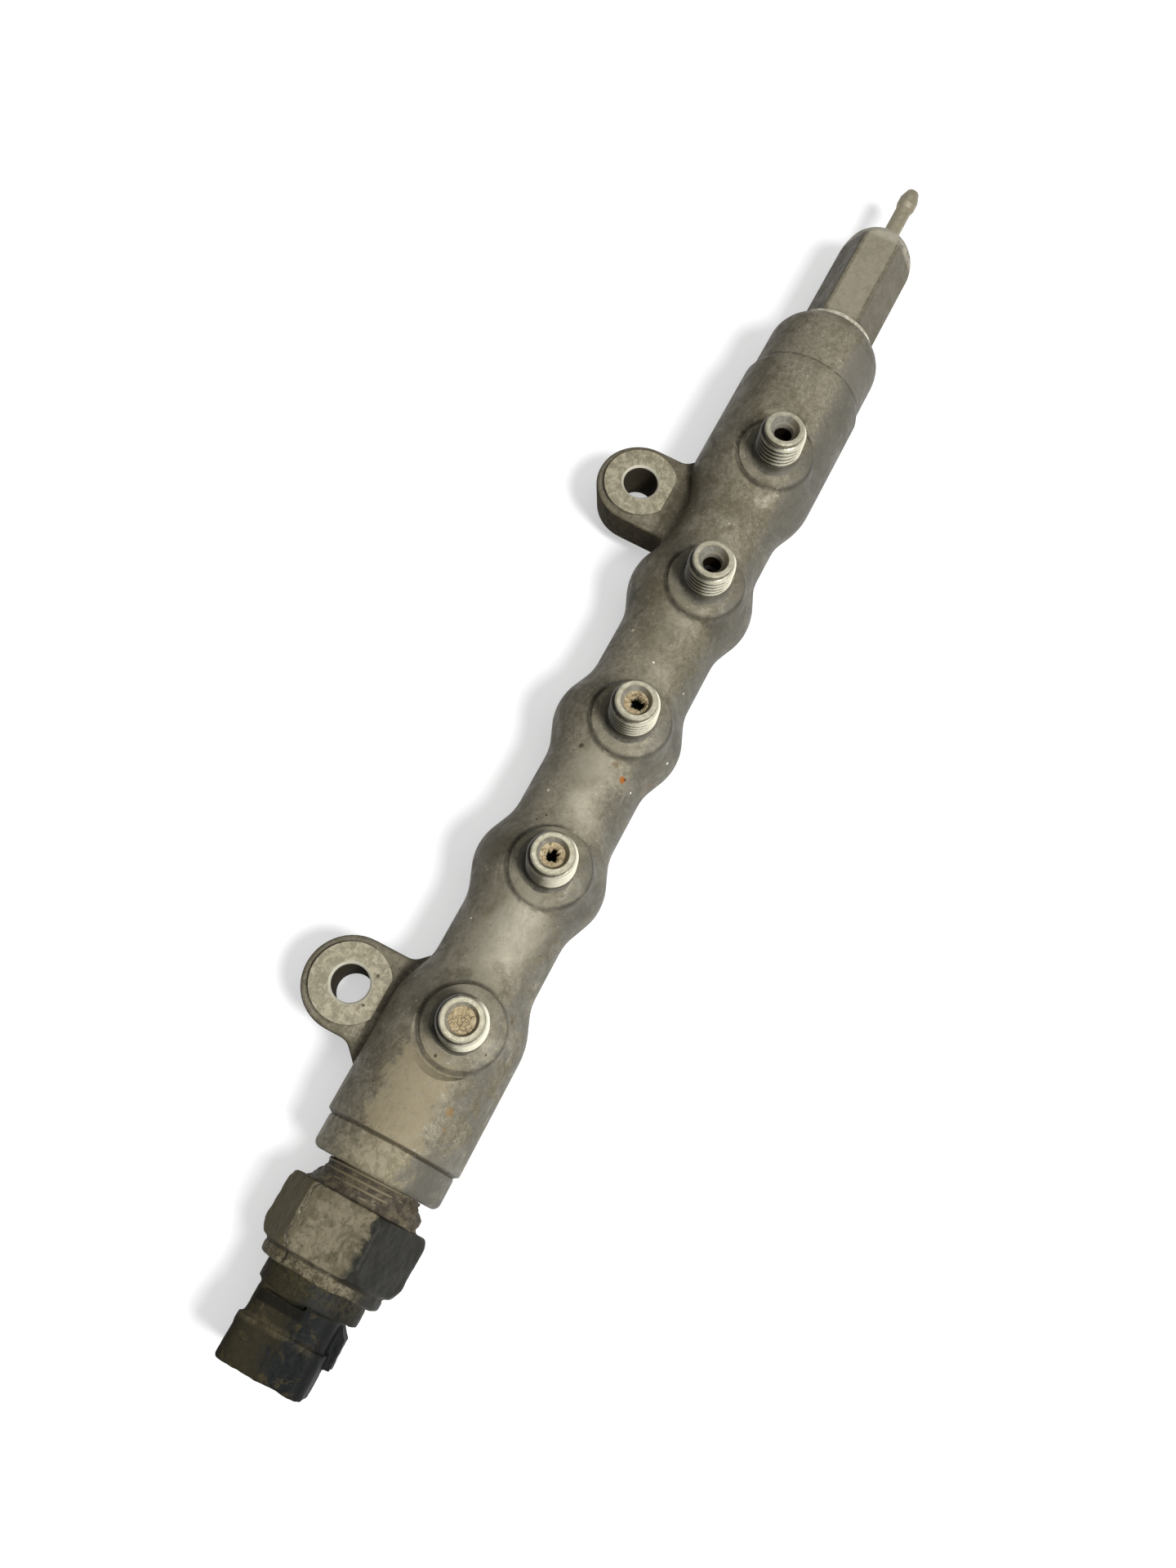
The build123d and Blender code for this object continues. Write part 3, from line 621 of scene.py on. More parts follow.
    # The cone's wall is painted lighter on the side that faces the key lamp and darker on the other, as painted
    # light and shade.
    cone = nipple * outlet.ramp(3.75, 3.6) * up.ramp(TIP - 0.1, TIP - 0.3)
    lit = side.ramp(OUTLET_SIDE - 2.5, OUTLET_SIDE + 1.5)
    wall = lit.mix((112, 105, 88), fine.ramp(0.35, 0.6).mix((176, 173, 162), (146, 143, 132)))
    coats.add(cone * 0.9, wall)
    ledge = outlet.band(2.2, 2.75, 0.12) * up.ramp(TIP - 1.2, TIP - 1.6)
    coats.add(ledge * 0.8, (184, 178, 162))
    # The bore's depth is painted nearly black, as painted shade.
    bore = outlet.ramp(2.6, 2.4) * up.ramp(TIP - 2.9, TIP - 3.9)
    coats.add(bore, (22, 16, 10))

    for centre, radius, edge, ragged, tone, strength in (
        ((33.2, -9.7, 10.4), 1.2, 3.6, 6.0, (70, 67, 60), 0.55),
        ((33.2, 13.3, 5.1), 1.4, 3.2, 5.0, (44, 40, 30), 0.55),
        ((62.5, -12.0, 9.5), 1.0, 4.0, 6.0, (78, 75, 68), 0.4),
        ((-71.5, 3.4, 13.6), 0.8, 1.6, 3.5, (84, 79, 64), 0.6),
        ((-74.0, 6.5, 13.0), 1.0, 2.2, 4.0, (80, 75, 60), 0.5),
        ((-43.1, 13.0, 10.8), 2.5, 5.0, 6.0, (78, 73, 58), 0.5),
        ((-47.0, -13.0, 8.0), 1.5, 4.0, 6.0, (84, 81, 73), 0.45),
        ((-8.5, -9.5, 11.2), 1.5, 3.5, 5.0, (88, 84, 74), 0.45),
        ((-23.7, -1.2, 12.6), 1.8, 2.4, 6.0, (168, 163, 144), 0.45),
        ((-14.0, 1.6, 12.9), 1.5, 4.0, 6.0, (158, 153, 135), 0.4),
        ((-20.5, -9.5, 9.0), 2.5, 5.0, 6.0, (80, 77, 68), 0.5),
        ((2.0, -13.8, 8.6), 2.0, 4.5, 6.0, (78, 75, 67), 0.45),
        ((-57.0, -2.5, 12.9), 4.0, 6.0, 9.0, (164, 159, 142), 0.45),
        ((-10.9, 5.2, 12.1), 0.35, 0.5, 1.2, (60, 52, 36), 0.8),
        ((-32.0, 5.9, 12.4), 0.2, 0.3, 0.8, (50, 44, 32), 0.85),
        ((-30.1, 4.3, 12.4), 0.15, 0.3, 0.6, (50, 44, 32), 0.85),
        ((-90.4, -0.2, 15.1), 0.25, 0.3, 0.8, (50, 42, 30), 0.85),
        ((-85.2, -9.8, 15.1), 0.2, 0.3, 0.8, (50, 42, 30), 0.85),
        ((-79.5, 21.4, 2.0), 0.3, 0.3, 0.6, (56, 48, 34), 0.85),
        ((-86.9, 21.0, 2.0), 0.25, 0.3, 0.6, (56, 48, 34), 0.85),
        ((16.2, -0.5, 12.8), 0.22, 0.2, 0.9, (226, 222, 204), 0.9),
        ((14.5, -10.2, 7.7), 0.16, 0.2, 0.9, (214, 204, 176), 0.9),
        ((-3.1, -14.6, 6.5), 0.18, 0.2, 0.7, (226, 222, 204), 0.9),
        ((-14.4, -10.2, 7.7), 0.15, 0.15, 0.5, (230, 228, 214), 0.9),
        ((-23.9, 6.9, 10.7), 0.2, 0.3, 1.0, (214, 208, 188), 0.9),
        ((-59.1, 8.3, 9.8), 0.15, 0.15, 0.6, (226, 222, 204), 0.9),
        ((22.6, 8.0, 10.0), 0.2, 0.3, 1.0, (196, 186, 160), 0.8),
        ((-13.4, -7.2, 10.6), 0.55, 0.4, 0.9, colours.rust, 1.0),
        ((-13.0, -7.8, 10.3), 0.2, 0.3, 0.9, (74, 48, 28), 0.8),
        ((-11.3, -4.2, 12.4), 0.3, 0.8, 1.2, (96, 72, 44), 0.7),
        ((-9.5, -13.0, 3.8), 0.3, 0.9, 1.2, (112, 82, 60), 0.6),
        ((-75.6, -11.1, 10.6), 0.35, 0.45, 1.2, (86, 60, 34), 0.85),
        ((-99.3, -8.7, 14.0), 0.5, 0.9, 2.0, (126, 100, 62), 0.75),
        ((-103.0, -9.4, 13.4), 0.3, 0.5, 1.2, (122, 98, 62), 0.6),
    ):
        inputs = {"Place": where, "Centre": centre, "Radius": radius, "Edge": edge, "Ragged": ragged}
        coats.add(use(tree, "Spot", inputs)["Mask"] * strength, tone)

    rough = (film * 0.8).blend(rough, 0.85)
    rough = walls.blend(nipple.blend(rough, 0.38), 0.95)
    metal = nipple.blend(film.blend(0.2, 0.0), 0.45)
    metal = metal * (1.0 - bore) * shaded_side.ramp(0, 1, 1, 0.1) * walls.ramp(0, 1, 1, 0)
    finish_surface(tree, shader, coats.colour, rough, height, 0.17, metal, 0.2)
    return material


def thread_material(colours, name, root, crest, along_rail):
    """Bright crests over dirty roots; an outlet's thread is painted dark and dull on the side away from the key
    lamp, as painted shade.
    """
    material, tree, shader, rail = rail_material(name)
    grain = rail["Place"].noise(1.2, 5)
    if along_rail:
        out = rail["Out"]
        dirt, bright = (70, 62, 46), (112, 102, 80)
        dull, shiny, metal = 0.7, 0.55, 0.1
    else:
        out = use(tree, "Outlet place", {"Place": rail["Place"]})["Radius"]
        above = (rail["Up"] - THREAD_TAPER).larger(0.0)
        out = out + above * TAPER_SLOPE
        dirt, bright = (88, 82, 67), (232, 227, 204)
        dull, shiny, metal = 0.5, 0.3, 0.6
    depth = out.ramp(root, crest)
    shake = depth + (grain - 0.5) * 0.9
    level = shake.ramp(0.4, 0.85)
    colour = level.mix(dirt, bright)
    metal = level.blend(0.05, metal)
    if not along_rail:
        # On the side away from the key lamp, the thread is painted dark and dull, as painted shade.
        side = rail["Side"] + (grain - 0.5) * 3.5
        shaded_side = side.ramp(OUTLET_SIDE - 4.0, OUTLET_SIDE + 0.6)
        worn = level.mix((24, 21, 15), (80, 75, 58))
        colour = (shaded_side * 0.96).mix(colour, worn)
        metal = metal * shaded_side.ramp(0, 1, 1, 0.05)
    finish_surface(tree, shader, colour, level.ramp(0, 1, dull, shiny), grain, 0.03, metal)
    return material


class FUELRAIL_OT_forging(bpy.types.Operator):
    """Make the forging from the CAD solid, its nipples cut back to the thread root"""

    bl_idname = "fuelrail.forging"
    bl_label = "Forging"

    def execute(self, context):
        sizes = context.scene.rail_sizes
        bm = merged_copy("rail_body")
        for place in OUTLETS:
            centre = RAIL + Vector((place, OUTLET_SIDE, 0)) * MM
            for vert in bm.verts:
                away = Vector((vert.co.x - centre.x, vert.co.y - centre.y))
                above = vert.co.z - centre.z
                if abs(away.length - NIPPLE * MM) < ON_RADIUS * MM and above > (SEAT + 0.5) * MM:
                    vert.co.x = centre.x + away.x * sizes.outlet_root / away.length
                    vert.co.y = centre.y + away.y * sizes.outlet_root / away.length
        forging = new_piece(
            "rail_forging", bm, forging_material(context.scene.rail_colours), smooth=17
        )
        even = forging.modifiers.new("even normals", "WEIGHTED_NORMAL")
        even.keep_sharp = True
        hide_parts("rail_body")
        return {"FINISHED"}


class FUELRAIL_OT_outlet_threads(bpy.types.Operator):
    """Cut a thread on each outlet nipple"""

    bl_idname = "fuelrail.outlet_threads"
    bl_label = "Outlet threads"

    def execute(self, context):
        sizes = context.scene.rail_sizes
        root, crest, lead = sizes.outlet_root, sizes.outlet_crest, sizes.outlet_lead
        colours = context.scene.rail_colours
        material = thread_material(colours, "bright outlet thread", root / MM, crest / MM, False)
        turns = (THREAD_END - THREAD_START) / (lead / MM) - 1
        for number, place in enumerate(OUTLETS, 1):
            bm = bmesh.new()
            centre = RAIL + Vector((place, OUTLET_SIDE, 0)) * MM
            thread_ridge(bm, centre, UPWARD, root, crest, lead, THREAD_START * MM, turns)
            for vert in bm.verts:
                away = Vector((vert.co.x - centre.x, vert.co.y - centre.y, 0))
                above = (vert.co.z - centre.z) / MM - THREAD_TAPER
                limit = crest - max(0.0, above) * TAPER_SLOPE * MM
                if away.length > limit:
                    vert.co += away.normalized() * (limit - away.length)
            new_piece(f"outlet_thread_{number}", bm, material, smooth=60)
        return {"FINISHED"}


class FUELRAIL_OT_outlet_dirt_and_shadow(bpy.types.Operator):
    """Pack dirt round the foot of each nipple, reaching furthest out on the side away from the key lamp; the
    bank is partly dirt and partly the nipple's painted shadow, dark on that side and lighter on the lamp side.
    """

    bl_idname = "fuelrail.outlet_dirt"
    bl_label = "Dirt and painted shadow round the outlets"

    def execute(self, context):
        material, tree, shader, rail = rail_material("packed dirt and painted shadow")
        where = rail["Place"]
        grain = where.noise(1.0, 7, 0.7, 0.8)
        cloud = where.noise(0.35, 4, 0.6, 0.6)
        # The dirt is painted dark on the side away from the key lamp, as the nipple's painted shadow, and
        # lighter, with more pale specks, on the lamp side.
        lit = (rail["Side"] + (cloud - 0.5) * 6).ramp(OUTLET_SIDE - 0.5, OUTLET_SIDE - 4.5)
        coats = Coats(lit.mix(
            cloud.mix((44, 41, 32), (74, 69, 55)), cloud.mix((104, 100, 88), (84, 80, 69))
        ))
        coats.add(grain.ramp(0.6, 0.68) * lit.ramp(0, 1, 0.25, 0.6), (150, 144, 124))
        away = use(tree, "Outlet place", {"Place": where})["Radius"]
        thin = (away + (cloud - 0.5) * 2).ramp(6.0, 7.3) * lit.ramp(0, 1, 0.55, 1.0)
        coats.add(thin * 0.85, cloud.mix((112, 107, 91), (132, 126, 108)))
        finish_surface(tree, shader, coats.colour, grain.ramp(0.3, 0.7, 0.75, 0.5), grain, 0.25, 0.0)
        # Radius and height of the bank, from the seat up to the thread
        inner, width = 5.0, 3.6
        bank = [(8.6, -0.03), (8.2, 0.07), (7.6, 0.14), (7.0, 0.26), (6.5, 0.5), (6.1, 0.95), (5.8, 1.5)]
        bank += [(5.6, 2.1), (inner, 2.3), (inner, -0.03)]
        for number, (place, reach) in enumerate(zip(OUTLETS, (7.2, 7.6, 6.9, 6.9, 6.6)), 1):
            centre = RAIL + Vector((place, OUTLET_SIDE, SEAT)) * MM
            points = [centre + Vector((radius, 0, height)) * MM for radius, height in bank]
            bm = spun(centre, UPWARD, points, 120)
            for vert in bm.verts:
                away = Vector((vert.co.x - centre.x, vert.co.y - centre.y, 0))
                if away.length < (inner + 0.1) * MM:
                    continue
                turn = away.normalized()
                shaded_side = max(0.0, turn.dot(Vector((0.35, 0.94, 0))))
                spread = uneven(turn, 1.6, 0.5, number)
                outer = reach + 1.3 * shaded_side - 0.9 * max(0.0, -turn.y) + 0.35 * spread
                share = (away.length / MM - inner) / width
                vert.co.x = centre.x + turn.x * (inner + share * (outer - inner)) * MM
                vert.co.y = centre.y + turn.y * (inner + share * (outer - inner)) * MM
                if vert.co.z > centre.z + 0.1 * MM:
                    vert.co.z += 0.12 * noise.noise((vert.co - centre) * 1100) * MM
            new_piece(f"outlet_dirt_{number}", bm, material, smooth=80)
        return {"FINISHED"}


def mud_material(colours):
    """Dry cracked mud."""
    material, tree, shader, rail = rail_material("dry mud")
    where = rail["Place"]
    grain = where.noise(2.4, 6, 0.7, 0.5)
    lumps = where.noise(0.9, 3, 0.5)
    bend = add(tree, "ShaderNodeTexNoise", {"Vector": where, "Scale": 0.8, "Detail": 4})["Color"]
    bent = where.vector("ADD", bend.scaled(2.4))
    cracks = bent.cells(0.45, feature="DISTANCE_TO_EDGE")["Distance"]
    crack = (cracks + grain * 0.1).ramp(0.085, 0.05)
    coats = Coats(grain.ramp(0.35, 0.65).mix(colours.mud, (140, 122, 88)))
    coats.add(lumps.ramp(0.5, 0.62) * 0.5, (194, 180, 150))
    coats.add(crack * lumps.ramp(0.35, 0.6, 0.3, 0.8), (96, 72, 44))
    height = grain - crack * 0.8
    finish_surface(tree, shader, coats.colour, grain.ramp(0.3, 0.7, 0.8, 0.95), height, 0.25, 0.0)
    return material


class FUELRAIL_OT_mouth_mud(bpy.types.Operator):
    """Cake dry mud in the mouths of the three outlets nearest the sensor"""

    bl_idname = "fuelrail.mouth_mud"
    bl_label = "Mud in the outlets"

    def execute(self, context):
        material = mud_material(context.scene.rail_colours)
        # Radius and height, from the cone's wall inwards and back up along the bore's wall
        wall = [(2.3, 22.3), (2.31, 24.0)]
        lining = [(2.85, 24.95), (2.6, 24.95), (2.1, 24.8), (1.75, 24.6), (1.5, 24.2), (1.45, 23.6)]
        lining += [(1.5, 22.4), *wall]
        plug = [(3.0, 25.2), (2.6, 25.25), (1.9, 25.2), (1.2, 25.1), (0.6, 25.15), (0.0, 25.1)]
        plug += [(0.0, 22.3), *wall]
        for number, profile, shift in ((3, lining, (0.1, -0.25)), (4, lining, (-0.15, 0.1)), (5, plug, (0, 0))):
            centre = RAIL + Vector((OUTLETS[number - 1], OUTLET_SIDE, 0)) * MM
            points = [centre + Vector((radius, 0, height)) * MM for radius, height in profile]
            bm = spun(centre, UPWARD, points, 72)
            for vert in bm.verts:
                away = vert.co - centre
                radius = math.hypot(away.x, away.y) / MM
                height = away.z / MM
                if radius < 0.01 or (radius > 2.25 and height < 24.5):
                    continue
                inside = max(0.0, min(1.0, (2.9 - radius) / 0.6))
                wave = noise.noise(vert.co * 900 + Vector((number, 0, 0))) + 0.6 * noise.noise(vert.co * 2300)
                if profile is lining and radius < 2.4:
                    turn = Vector((away.x, away.y, 0)).normalized()
                    ragged = uneven(turn, 1.7, 0.6, number)
                    vert.co += turn * ragged * 0.75 * MM + Vector((*shift, 0)) * inside * MM
                vert.co.z += wave * 0.2 * inside * MM
            new_piece(f"mouth_mud_{number}", bm, material, smooth=80)
        return {"FINISHED"}


class FUELRAIL_OT_limiter(bpy.types.Operator):
    """Finish the limiter's housing, washer and leak-off pipe"""

    bl_idname = "fuelrail.limiter"
    bl_label = "Pressure limiter"

    def execute(self, context):
        colours = context.scene.rail_colours
        material, tree, shader, rail = rail_material("limiter zinc")
        where = rail["Place"]
        worn = zinc_tones(tree, where, colours)
        turn, fine = rail["Round"], where.noise(0.5, 6, 0.7, 0.5)
        # The hexagon's top facets are painted lighter and its side facets darker, as painted light and shade.
        top = turn.band(62, 111, 1.5) * fine.ramp(0.3, 0.6, 0.85, 0.5)
        left = turn.ramp(58, 56)
        right = turn.ramp(115, 117)
        cloud = where.noise(0.3, 6, 0.7, 1.0)
        coats = Coats(top.mix(worn["Colour"], (156, 149, 130)))
        coats.add(left * 0.75, cloud.ramp(0.42, 0.58).mix((88, 81, 64), (62, 54, 38)))
        coats.add(right * 0.7, cloud.mix((86, 81, 71), (110, 104, 91)))
        strip = turn.band(57, 61, 0.8).larger(turn.band(112, 117, 0.8))
        coats.add(strip * fine.ramp(0.35, 0.6) * 0.45, (104, 96, 80))
        foot = rail["Along"].ramp(135.5, 133.2) * fine.ramp(0.3, 0.55)
        coats.add(foot * 0.5, colours.shade)
        crown = rail["Along"].ramp(162, 164) * fine.ramp(0.3, 0.55)
        coats.add(crown * 0.65, (186, 181, 163))
        finish_surface(tree, shader, coats.colour, worn["Roughness"], worn["Height"], 0.1, 0.2, 0.25)
        dress_node("limiter_housing", material)

        tones = (226, 221, 202), (176, 169, 148)
        grain = (0.9, 4, PLAIN_NOISE)
        dress_node("limiter_gasket", plain_material("bright washer", *tones, 0.3, 0.4, grain, 0.03))

        material, tree, shader, rail = rail_material("dirty pipe steel")
        worn = zinc_tones(tree, rail["Place"], colours)
        streak = rail["Place"].noise(0.4, 5, 0.6, 0.8)
        coats = Coats(streak.ramp(0.3, 0.6, 0.6, 0.85).mix(worn["Colour"], (178, 170, 146)))
        shaded = (rail["Side"] + streak * 1.2).ramp(1.2, -0.8)
        coats.add(shaded * 0.35, (108, 99, 78))
        finish_surface(tree, shader, coats.colour, worn["Roughness"], worn["Height"], 0.06, 0.5)
        dress_node("leak_off_pipe", material)
        return {"FINISHED"}


class FUELRAIL_OT_sensor(bpy.types.Operator):
    """Finish the sensor's housing and cut the thread on its neck"""

    bl_idname = "fuelrail.sensor"
    bl_label = "Pressure sensor"

    def execute(self, context):
        sizes = context.scene.rail_sizes
        colours = context.scene.rail_colours
        material, tree, shader, rail = rail_material("muddy sensor zinc")
        where = rail["Place"]
        worn = zinc_tones(tree, where, colours)
        turn, along = rail["Round"], rail["Along"]
        fine = where.noise(0.8, 7, 0.75, 0.6)
        cloud = where.noise(0.2, 6, 0.65, 1.0)
        swing = turn + (cloud - 0.5) * 22
        crust = cloud.ramp(0.4, 0.6).mix((126, 118, 97), (96, 89, 70))
        crust = (fine.ramp(0.53, 0.63) * 0.75).mix(crust, (74, 68, 52))
        top = swing.band(58, 112, 2)
        right = swing.ramp(108, 114)
        left = turn.ramp(57, 54)
        coats = Coats((top * 0.85).mix(worn["Colour"], crust))
        coats.add(right * 0.94, cloud.mix((14, 17, 18), (34, 34, 30)))
        coats.add(left * 0.85, cloud.mix((98, 89, 58), (76, 68, 42)))
        neck = rail["Out"].ramp(13.0, 12.0) * along.ramp(-126.4, -124.6)
        coats.add(neck * 0.85, cloud.mix((56, 48, 34), (96, 84, 60)))
        groove = along.band(-139.8, -138.9, 0.25) * fine.ramp(0.3, 0.45)
        coats.add(groove * 0.7, (40, 36, 28))
        lip = along.ramp(-139.6, -140.0)
        rusty = fine.ramp(0.4, 0.6).mix((124, 116, 95), (70, 63, 46))
        coats.add(lip * swing.ramp(150, 110) * 0.85, rusty)
        height = worn["Height"] * top.ramp(0, 1, 0.35, 1.0) + fine * top * 1.2
        finish_surface(tree, shader, coats.colour, right.ramp(0, 1, 0.7, 0.5), height, 0.3, 0.02, MUDDY_GLOSS)
        bm = merged_copy("sensor_housing")
        for vert in bm.verts:
            away = Vector((vert.co.y - RAIL.y, vert.co.z - RAIL.z))
            if abs(away.length - sizes.neck_crest) < ON_RADIUS * MM and vert.co.x < RAIL.x:
                vert.co.y = RAIL.y + away.x * sizes.neck_root / away.length
                vert.co.z = RAIL.z + away.y * sizes.neck_root / away.length
        bm = softened(bm, 0.4, 12)
        bm.normal_update()
        for vert in bm.verts:
            place = (vert.co - RAIL) / MM
            out = math.hypot(place.y, place.z)
            if place.x > SENSOR_HEXAGON or out < 12.6:
                continue
            pit = max(0.0, noise.noise(place * 1.1) - 0.1)
            wave = 0.3 * noise.noise(place * 0.2) + 0.14 * noise.noise(place * 0.6)
            upper = max(0.0, vert.normal.z) ** 4
            vert.co += vert.normal * (wave - (0.12 + 0.43 * upper) * pit - 0.1) * MM
        housing = new_piece("sensor_shell", bm, material)
        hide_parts("sensor_housing")

        root, crest, lead = sizes.neck_root, sizes.neck_crest, sizes.neck_lead
        thread = thread_material(colours, "dirty neck thread", root / MM, crest / MM, True)
        bm = bmesh.new()
        thread_ridge(bm, RAIL, ALONG, root, crest, lead, NECK_START * MM, turns=5.0, steps=64)
        new_piece("sensor_neck_thread", bm, thread, smooth=60)
        self.neck_dirt(colours)
        return {"FINISHED"}

    def neck_dirt(self, colours):
        """Dirt packed round the neck, thickest against the hexagon and at both sides."""
        material, tree, shader, rail = rail_material("oily dirt")
        grain = rail["Place"].noise(1.4, 7, 0.75, 0.6)
        lumps = rail["Place"].noise(0.5, 4, 0.6)
        coats = Coats(lumps.ramp(0.4, 0.6).mix((54, 46, 33), (84, 75, 55)))
        coats.add(grain.ramp(0.6, 0.68) * 0.8, (176, 168, 146))
        coats.add(grain.ramp(0.42, 0.34) * 0.8, (26, 22, 16))
        finish_surface(tree, shader, coats.colour, grain.ramp(0.3, 0.7, 0.75, 0.45), grain, 0.3, 0.0)
        rows = 12
        start, end = -118.6, -124.75
        outer = [(start + (end - start) * row / rows, 11.4) for row in range(rows + 1)]
        points = [RAIL + Vector((x, 0, r)) * MM for x, r in [*outer, (end, 9.9), (start, 9.9)]]
        bm = spun(RAIL, ALONG, points, 180)
        for vert in bm.verts:
            place = (vert.co - RAIL) / MM
            out = math.hypot(place.y, place.z)
            if out < 11:
                continue
            turn = math.degrees(math.atan2(place.z, place.y))
            near = max(0.0, (start - place.x) / (start - end))
            left = math.exp(-((turn - 18) / 38) ** 2)
            right = math.exp(-(((turn - 168) if turn > 0 else (turn + 192)) / 30) ** 2)
            lump = noise.noise(place * 0.5) + 0.8 * noise.noise(place * 1.1)
            reach = 10.45 + near * near * (0.9 + 2.6 * left) + 2.4 * right * (0.35 + near * (1.6 - near) * 1.1)
            reach += lump * (0.3 + 0.8 * right + 0.25 * left)
            vert.co.y = RAIL.y + place.y * reach / out * MM
            vert.co.z = RAIL.z + place.z * reach / out * MM
        new_piece("sensor_neck_dirt", bm, material, smooth=80)


class FUELRAIL_OT_connector(bpy.types.Operator):
    """Finish the plastic plug connector and its terminals"""

    bl_idname = "fuelrail.connector"
    bl_label = "Plug connector"

    def execute(self, context):
        colours = context.scene.rail_colours
        material, tree, shader, rail = rail_material("dusty black plastic")
        cloud = rail["Place"].noise(0.16, 7, 0.7, 1.2)
        fine = rail["Place"].noise(1.2, 6, 0.7)
        reach = rail["Side"] + (cloud - 0.5) * 30
        dusty = reach.ramp(-3.0, 1.5) * fine.ramp(0.25, 0.55, 0.55, 1.0)
        base = fine.ramp(0.35, 0.65).mix(colours.plastic, (18, 19, 18))
        base = (rail["Side"].ramp(-4.5, -8) * 0.7).mix(base, (12, 12, 12))
        coats = Coats((dusty * 0.85).mix(base, cloud.ramp(0.4, 0.6).mix((50, 45, 29), (38, 35, 25))))
        film = rail["Along"].ramp(-150, -142) * fine.ramp(0.35, 0.6)
        coats.add(film * 0.4, (78, 72, 52))
        patch = cloud.ramp(0.52, 0.56) * fine.ramp(0.35, 0.6) * rail["Side"].ramp(-9, -5)
        coats.add(patch * 0.6, (70, 62, 40))
        # Round the slot, the plastic is painted darker as painted shade.
        slot_shade = rail["Along"].band(-150.6, -148.2, 0.4) * rail["Side"].band(-1.8, 9.5, 0.8)
        coats.add(slot_shade * rail["Up"].ramp(6.6, 7.4) * 0.8, (14, 13, 11))
        fleck = fine.ramp(0.66, 0.74)
        coats.add(fleck * 0.45, (112, 104, 84))
        step = (rail["Along"] + fine).band(-154.6, -152.9, 0.6) * cloud.ramp(0.38, 0.55)
        step = step * rail["Side"].ramp(-8, -5)
        coats.add(step * 0.4, (92, 84, 64))
        finish_surface(tree, shader, coats.colour, dusty.ramp(0, 1, 0.62, 0.85), fine, 0.1, 0.0, MUDDY_GLOSS)
        bm = softened(merged_copy("connector_housing"), 0.3, 6)
        bm.normal_update()
        for vert in bm.verts:
            place = (vert.co - RAIL) / MM
            in_socket = abs(place.y - 0.9) < 8 and abs(place.z) < 7.2
            if place.x > SENSOR_LIP or in_socket:
                continue
            wave = 0.25 * noise.noise(place * 0.2) + 0.12 * noise.noise(place * 0.8)
            vert.co += vert.normal * (wave - 0.12) * MM
            vert.co.x = max(vert.co.x, cad_box[0].x)
        shell = new_piece("connector_shell", bm, material)
        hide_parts("connector_housing")

        tones = (196, 194, 184), (150, 144, 128)
        material = plain_material("tinned terminal", *tones, 0.25, 0.95, (1.0, 3, PLAIN_NOISE))
        for number in (1, 2, 3):
            dress_node(f"terminal_pin_{number}", material)
        return {"FINISHED"}


def plain_material(name, first, second, roughness, metallic, grain=(0.9, 4, 0.6), depth=0.02):
    """A lightly varied finish of two tones."""
    material, tree, shader, rail = rail_material(name)
    grain = rail["Place"].noise(*grain)
    colour = grain.ramp(0.35, 0.65).mix(first, second)
    rough = grain.ramp(0.3, 0.7, roughness, roughness + 0.15)
    finish_surface(tree, shader, colour, rough, grain, depth, metallic)
    return material


class FUELRAIL_OT_inner_pieces(bpy.types.Operator):
    """Finish what is sealed inside the rail, the limiter and the sensor"""

    bl_idname = "fuelrail.inner_pieces"
    bl_label = "Inner pieces"

    def execute(self, context):
        ground = plain_material("ground steel", (178, 177, 170), (140, 138, 130), 0.25, 0.9)
        for part in ("valve_seat", "valve_guide", "valve", "spring_plate", "shim"):
            dress_node(f"limiter_{part}", ground)
        for node in ("sensing_stem", "stem_clamp_screw"):
            dress_node(node, ground)
        # The orifice bushes are painted near black, as painted shade deep in the outlets.
        shadow_black = plain_material("sooty bush", (20, 14, 8), (8, 6, 4), 0.8, 0.0)
        for number in range(1, 6):
            dress_node(f"orifice_bush_{number}", shadow_black)
        # The valve lifts against the coil, whose far end stays on its shim; here the coil is a still copy of
        # the CAD spring with a mesh of its own.
        coil = new_piece(
            "limiter_coil",
            merged_copy("limiter_spring"),
            plain_material("oiled spring steel", (120, 120, 122), (84, 84, 86), 0.3, 0.9),
            smooth=60,
        )
        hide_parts("limiter_spring")
        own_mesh(coil)
        for node, name, first, second, roughness, metallic in (
            ("sensor_gasket", "soft iron seal", (150, 146, 136), (112, 108, 98), 0.35, 0.8),
            ("strain_chip", "dark glass chip", (40, 42, 48), (58, 58, 66), 0.15, 0.0),
            ("sensor_circuit_board", "green laminate", (42, 96, 62), (30, 78, 50), 0.4, 0.0),
            ("connector_seal_ring", "black rubber", (30, 30, 30), (42, 41, 40), 0.6, 0.0),
        ):
            dress_node(node, plain_material(name, first, second, roughness, metallic))
        return {"FINISHED"}


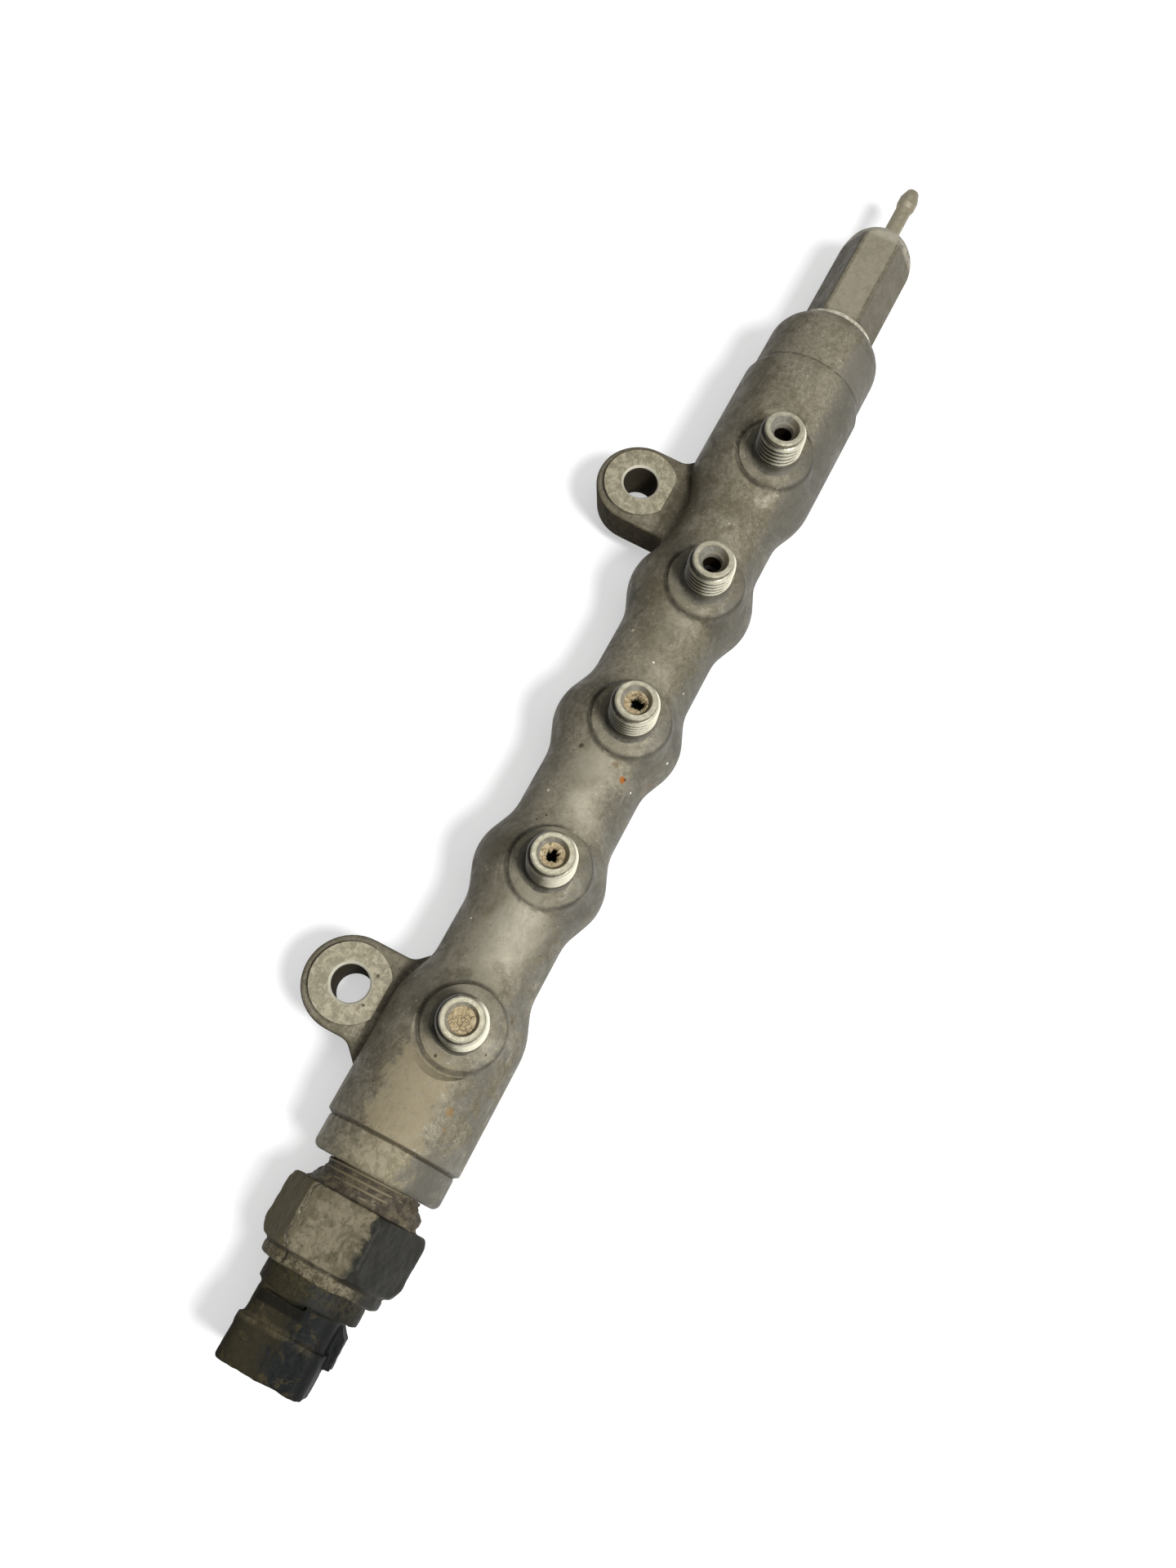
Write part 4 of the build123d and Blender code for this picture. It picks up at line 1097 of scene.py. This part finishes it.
class FUELRAIL_OT_stage(bpy.types.Operator):
    """Set the floor, the lamps, the sky and the camera"""

    bl_idname = "fuelrail.stage"
    bl_label = "Stage"

    def execute(self, context):
        scene = context.scene
        studio = scene.studio_values
        floor_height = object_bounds()[0].z - 0.2 * MM
        bm = bmesh.new()
        bmesh.ops.create_grid(bm, x_segments=1, y_segments=1, size=6.0)
        bmesh.ops.translate(bm, verts=bm.verts, vec=(0, 0, floor_height))
        mesh = bpy.data.meshes.new("studio_floor")
        bm.to_mesh(mesh)
        bm.free()
        floor = bpy.data.objects.new("studio_floor", mesh)
        scene.collection.objects.link(floor)
        material, tree, shader = new_material("white floor")
        shader.inputs["Base Color"].default_value = (0.62, 0.62, 0.62, 1)
        shader.inputs["Roughness"].default_value = 0.9
        light = add(tree, "ShaderNodeLightPath")
        seen = light["Is Camera Ray"].larger(light["Is Glossy Ray"])
        plain = Value(tree, shader.outputs[0])
        glow = add(tree, "ShaderNodeEmission", {"Color": (1, 1, 1), "Strength": 0.5})[0]
        lit = add(tree, "ShaderNodeAddShader", {0: plain, 1: glow})[0]
        surface = add(tree, "ShaderNodeMixShader", {0: seen, 1: plain, 2: lit})[0]
        fill(tree, tree.nodes["Material Output"].inputs, {"Surface": surface})
        floor.data.materials.append(material)
        floor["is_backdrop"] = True

        world = bpy.data.worlds.new("white studio")
        scene.world = world
        world.use_nodes = True
        tree = world.node_tree
        light = add(tree, "ShaderNodeLightPath")
        seen = light["Is Camera Ray"].larger(light["Is Transmission Ray"])
        level = seen.blend(studio.sky_level, 1.0)
        fill(tree, tree.nodes["Background"].inputs, {"Color": (1, 1, 1), "Strength": level})

        self.lamp(scene, "key_lamp", (-0.16, -0.5, 0.82), (0, -0.03, 0), 0.26, studio.key_power * 10)
        self.lamp(scene, "top_lamp", (0.02, -0.1, 0.9), (0, -0.03, 0), 0.6, studio.fill_power * 10)

        camera = bpy.data.objects.new("camera", bpy.data.cameras.new("camera"))
        scene.collection.objects.link(camera)
        camera.data.sensor_fit = "AUTO"
        camera.data.sensor_width = 36
        camera.data.lens = 31.555
        camera.data.clip_start = 0.01
        right = Vector((0.45698, -0.88695, 0.06696))
        down = Vector((-0.83482, -0.45367, -0.31185))
        forward = Vector((0.30698, 0.08661, -0.94777))
        turn = Matrix((right, -down, -forward)).transposed().to_4x4()
        camera.matrix_world = Matrix.Translation(Vector((-108.15, -54.74, 328.66)) * MM) @ turn
        scene.camera = camera
        scene.view_settings.view_transform = "Standard"
        return {"FINISHED"}

    def lamp(self, scene, name, place, target, size, power):
        data = bpy.data.lights.new(name, "AREA")
        data.shape = "DISK"
        data.size = size
        data.energy = power
        lamp = bpy.data.objects.new(name, data)
        scene.collection.objects.link(lamp)
        lamp.location = place
        lamp.rotation_euler = (Vector(target) - Vector(place)).to_track_quat("-Z", "Y").to_euler()


class FUELRAIL_PT_panel(bpy.types.Panel):
    """Lists the sizes, colours and steps"""

    bl_idname = "FUELRAIL_PT_panel"
    bl_label = "Fuel rail"
    bl_space_type = "VIEW_3D"
    bl_region_type = "UI"
    bl_category = "Fuel rail"

    def draw(self, context):
        layout = self.layout
        for group in (context.scene.rail_sizes, context.scene.rail_colours, context.scene.studio_values):
            box = layout.box()
            for label in group.__annotations__:
                box.prop(group, label)
        for operator in STEPS:
            layout.operator(operator.bl_idname)


STEPS = (
    FUELRAIL_OT_forging,
    FUELRAIL_OT_outlet_threads,
    FUELRAIL_OT_outlet_dirt_and_shadow,
    FUELRAIL_OT_mouth_mud,
    FUELRAIL_OT_limiter,
    FUELRAIL_OT_sensor,
    FUELRAIL_OT_connector,
    FUELRAIL_OT_inner_pieces,
    FUELRAIL_OT_stage,
)
GROUPS = {"rail_sizes": RailSizes, "rail_colours": RailColours, "studio_values": StudioValues}


def register():
    for made in (*GROUPS.values(), *STEPS, FUELRAIL_PT_panel):
        bpy.utils.register_class(made)
    for name, made in GROUPS.items():
        setattr(bpy.types.Scene, name, bpy.props.PointerProperty(type=made))


def unregister():
    for name in GROUPS:
        delattr(bpy.types.Scene, name)
    for made in reversed((*GROUPS.values(), *STEPS, FUELRAIL_PT_panel)):
        bpy.utils.unregister_class(made)


def main():
    register()
    bpy.ops.fuelrail.forging()
    bpy.ops.fuelrail.outlet_threads()
    bpy.ops.fuelrail.outlet_dirt()
    bpy.ops.fuelrail.mouth_mud()
    bpy.ops.fuelrail.limiter()
    bpy.ops.fuelrail.sensor()
    bpy.ops.fuelrail.connector()
    bpy.ops.fuelrail.inner_pieces()
    bpy.ops.fuelrail.stage()


if __name__ == "__main__":
    main()
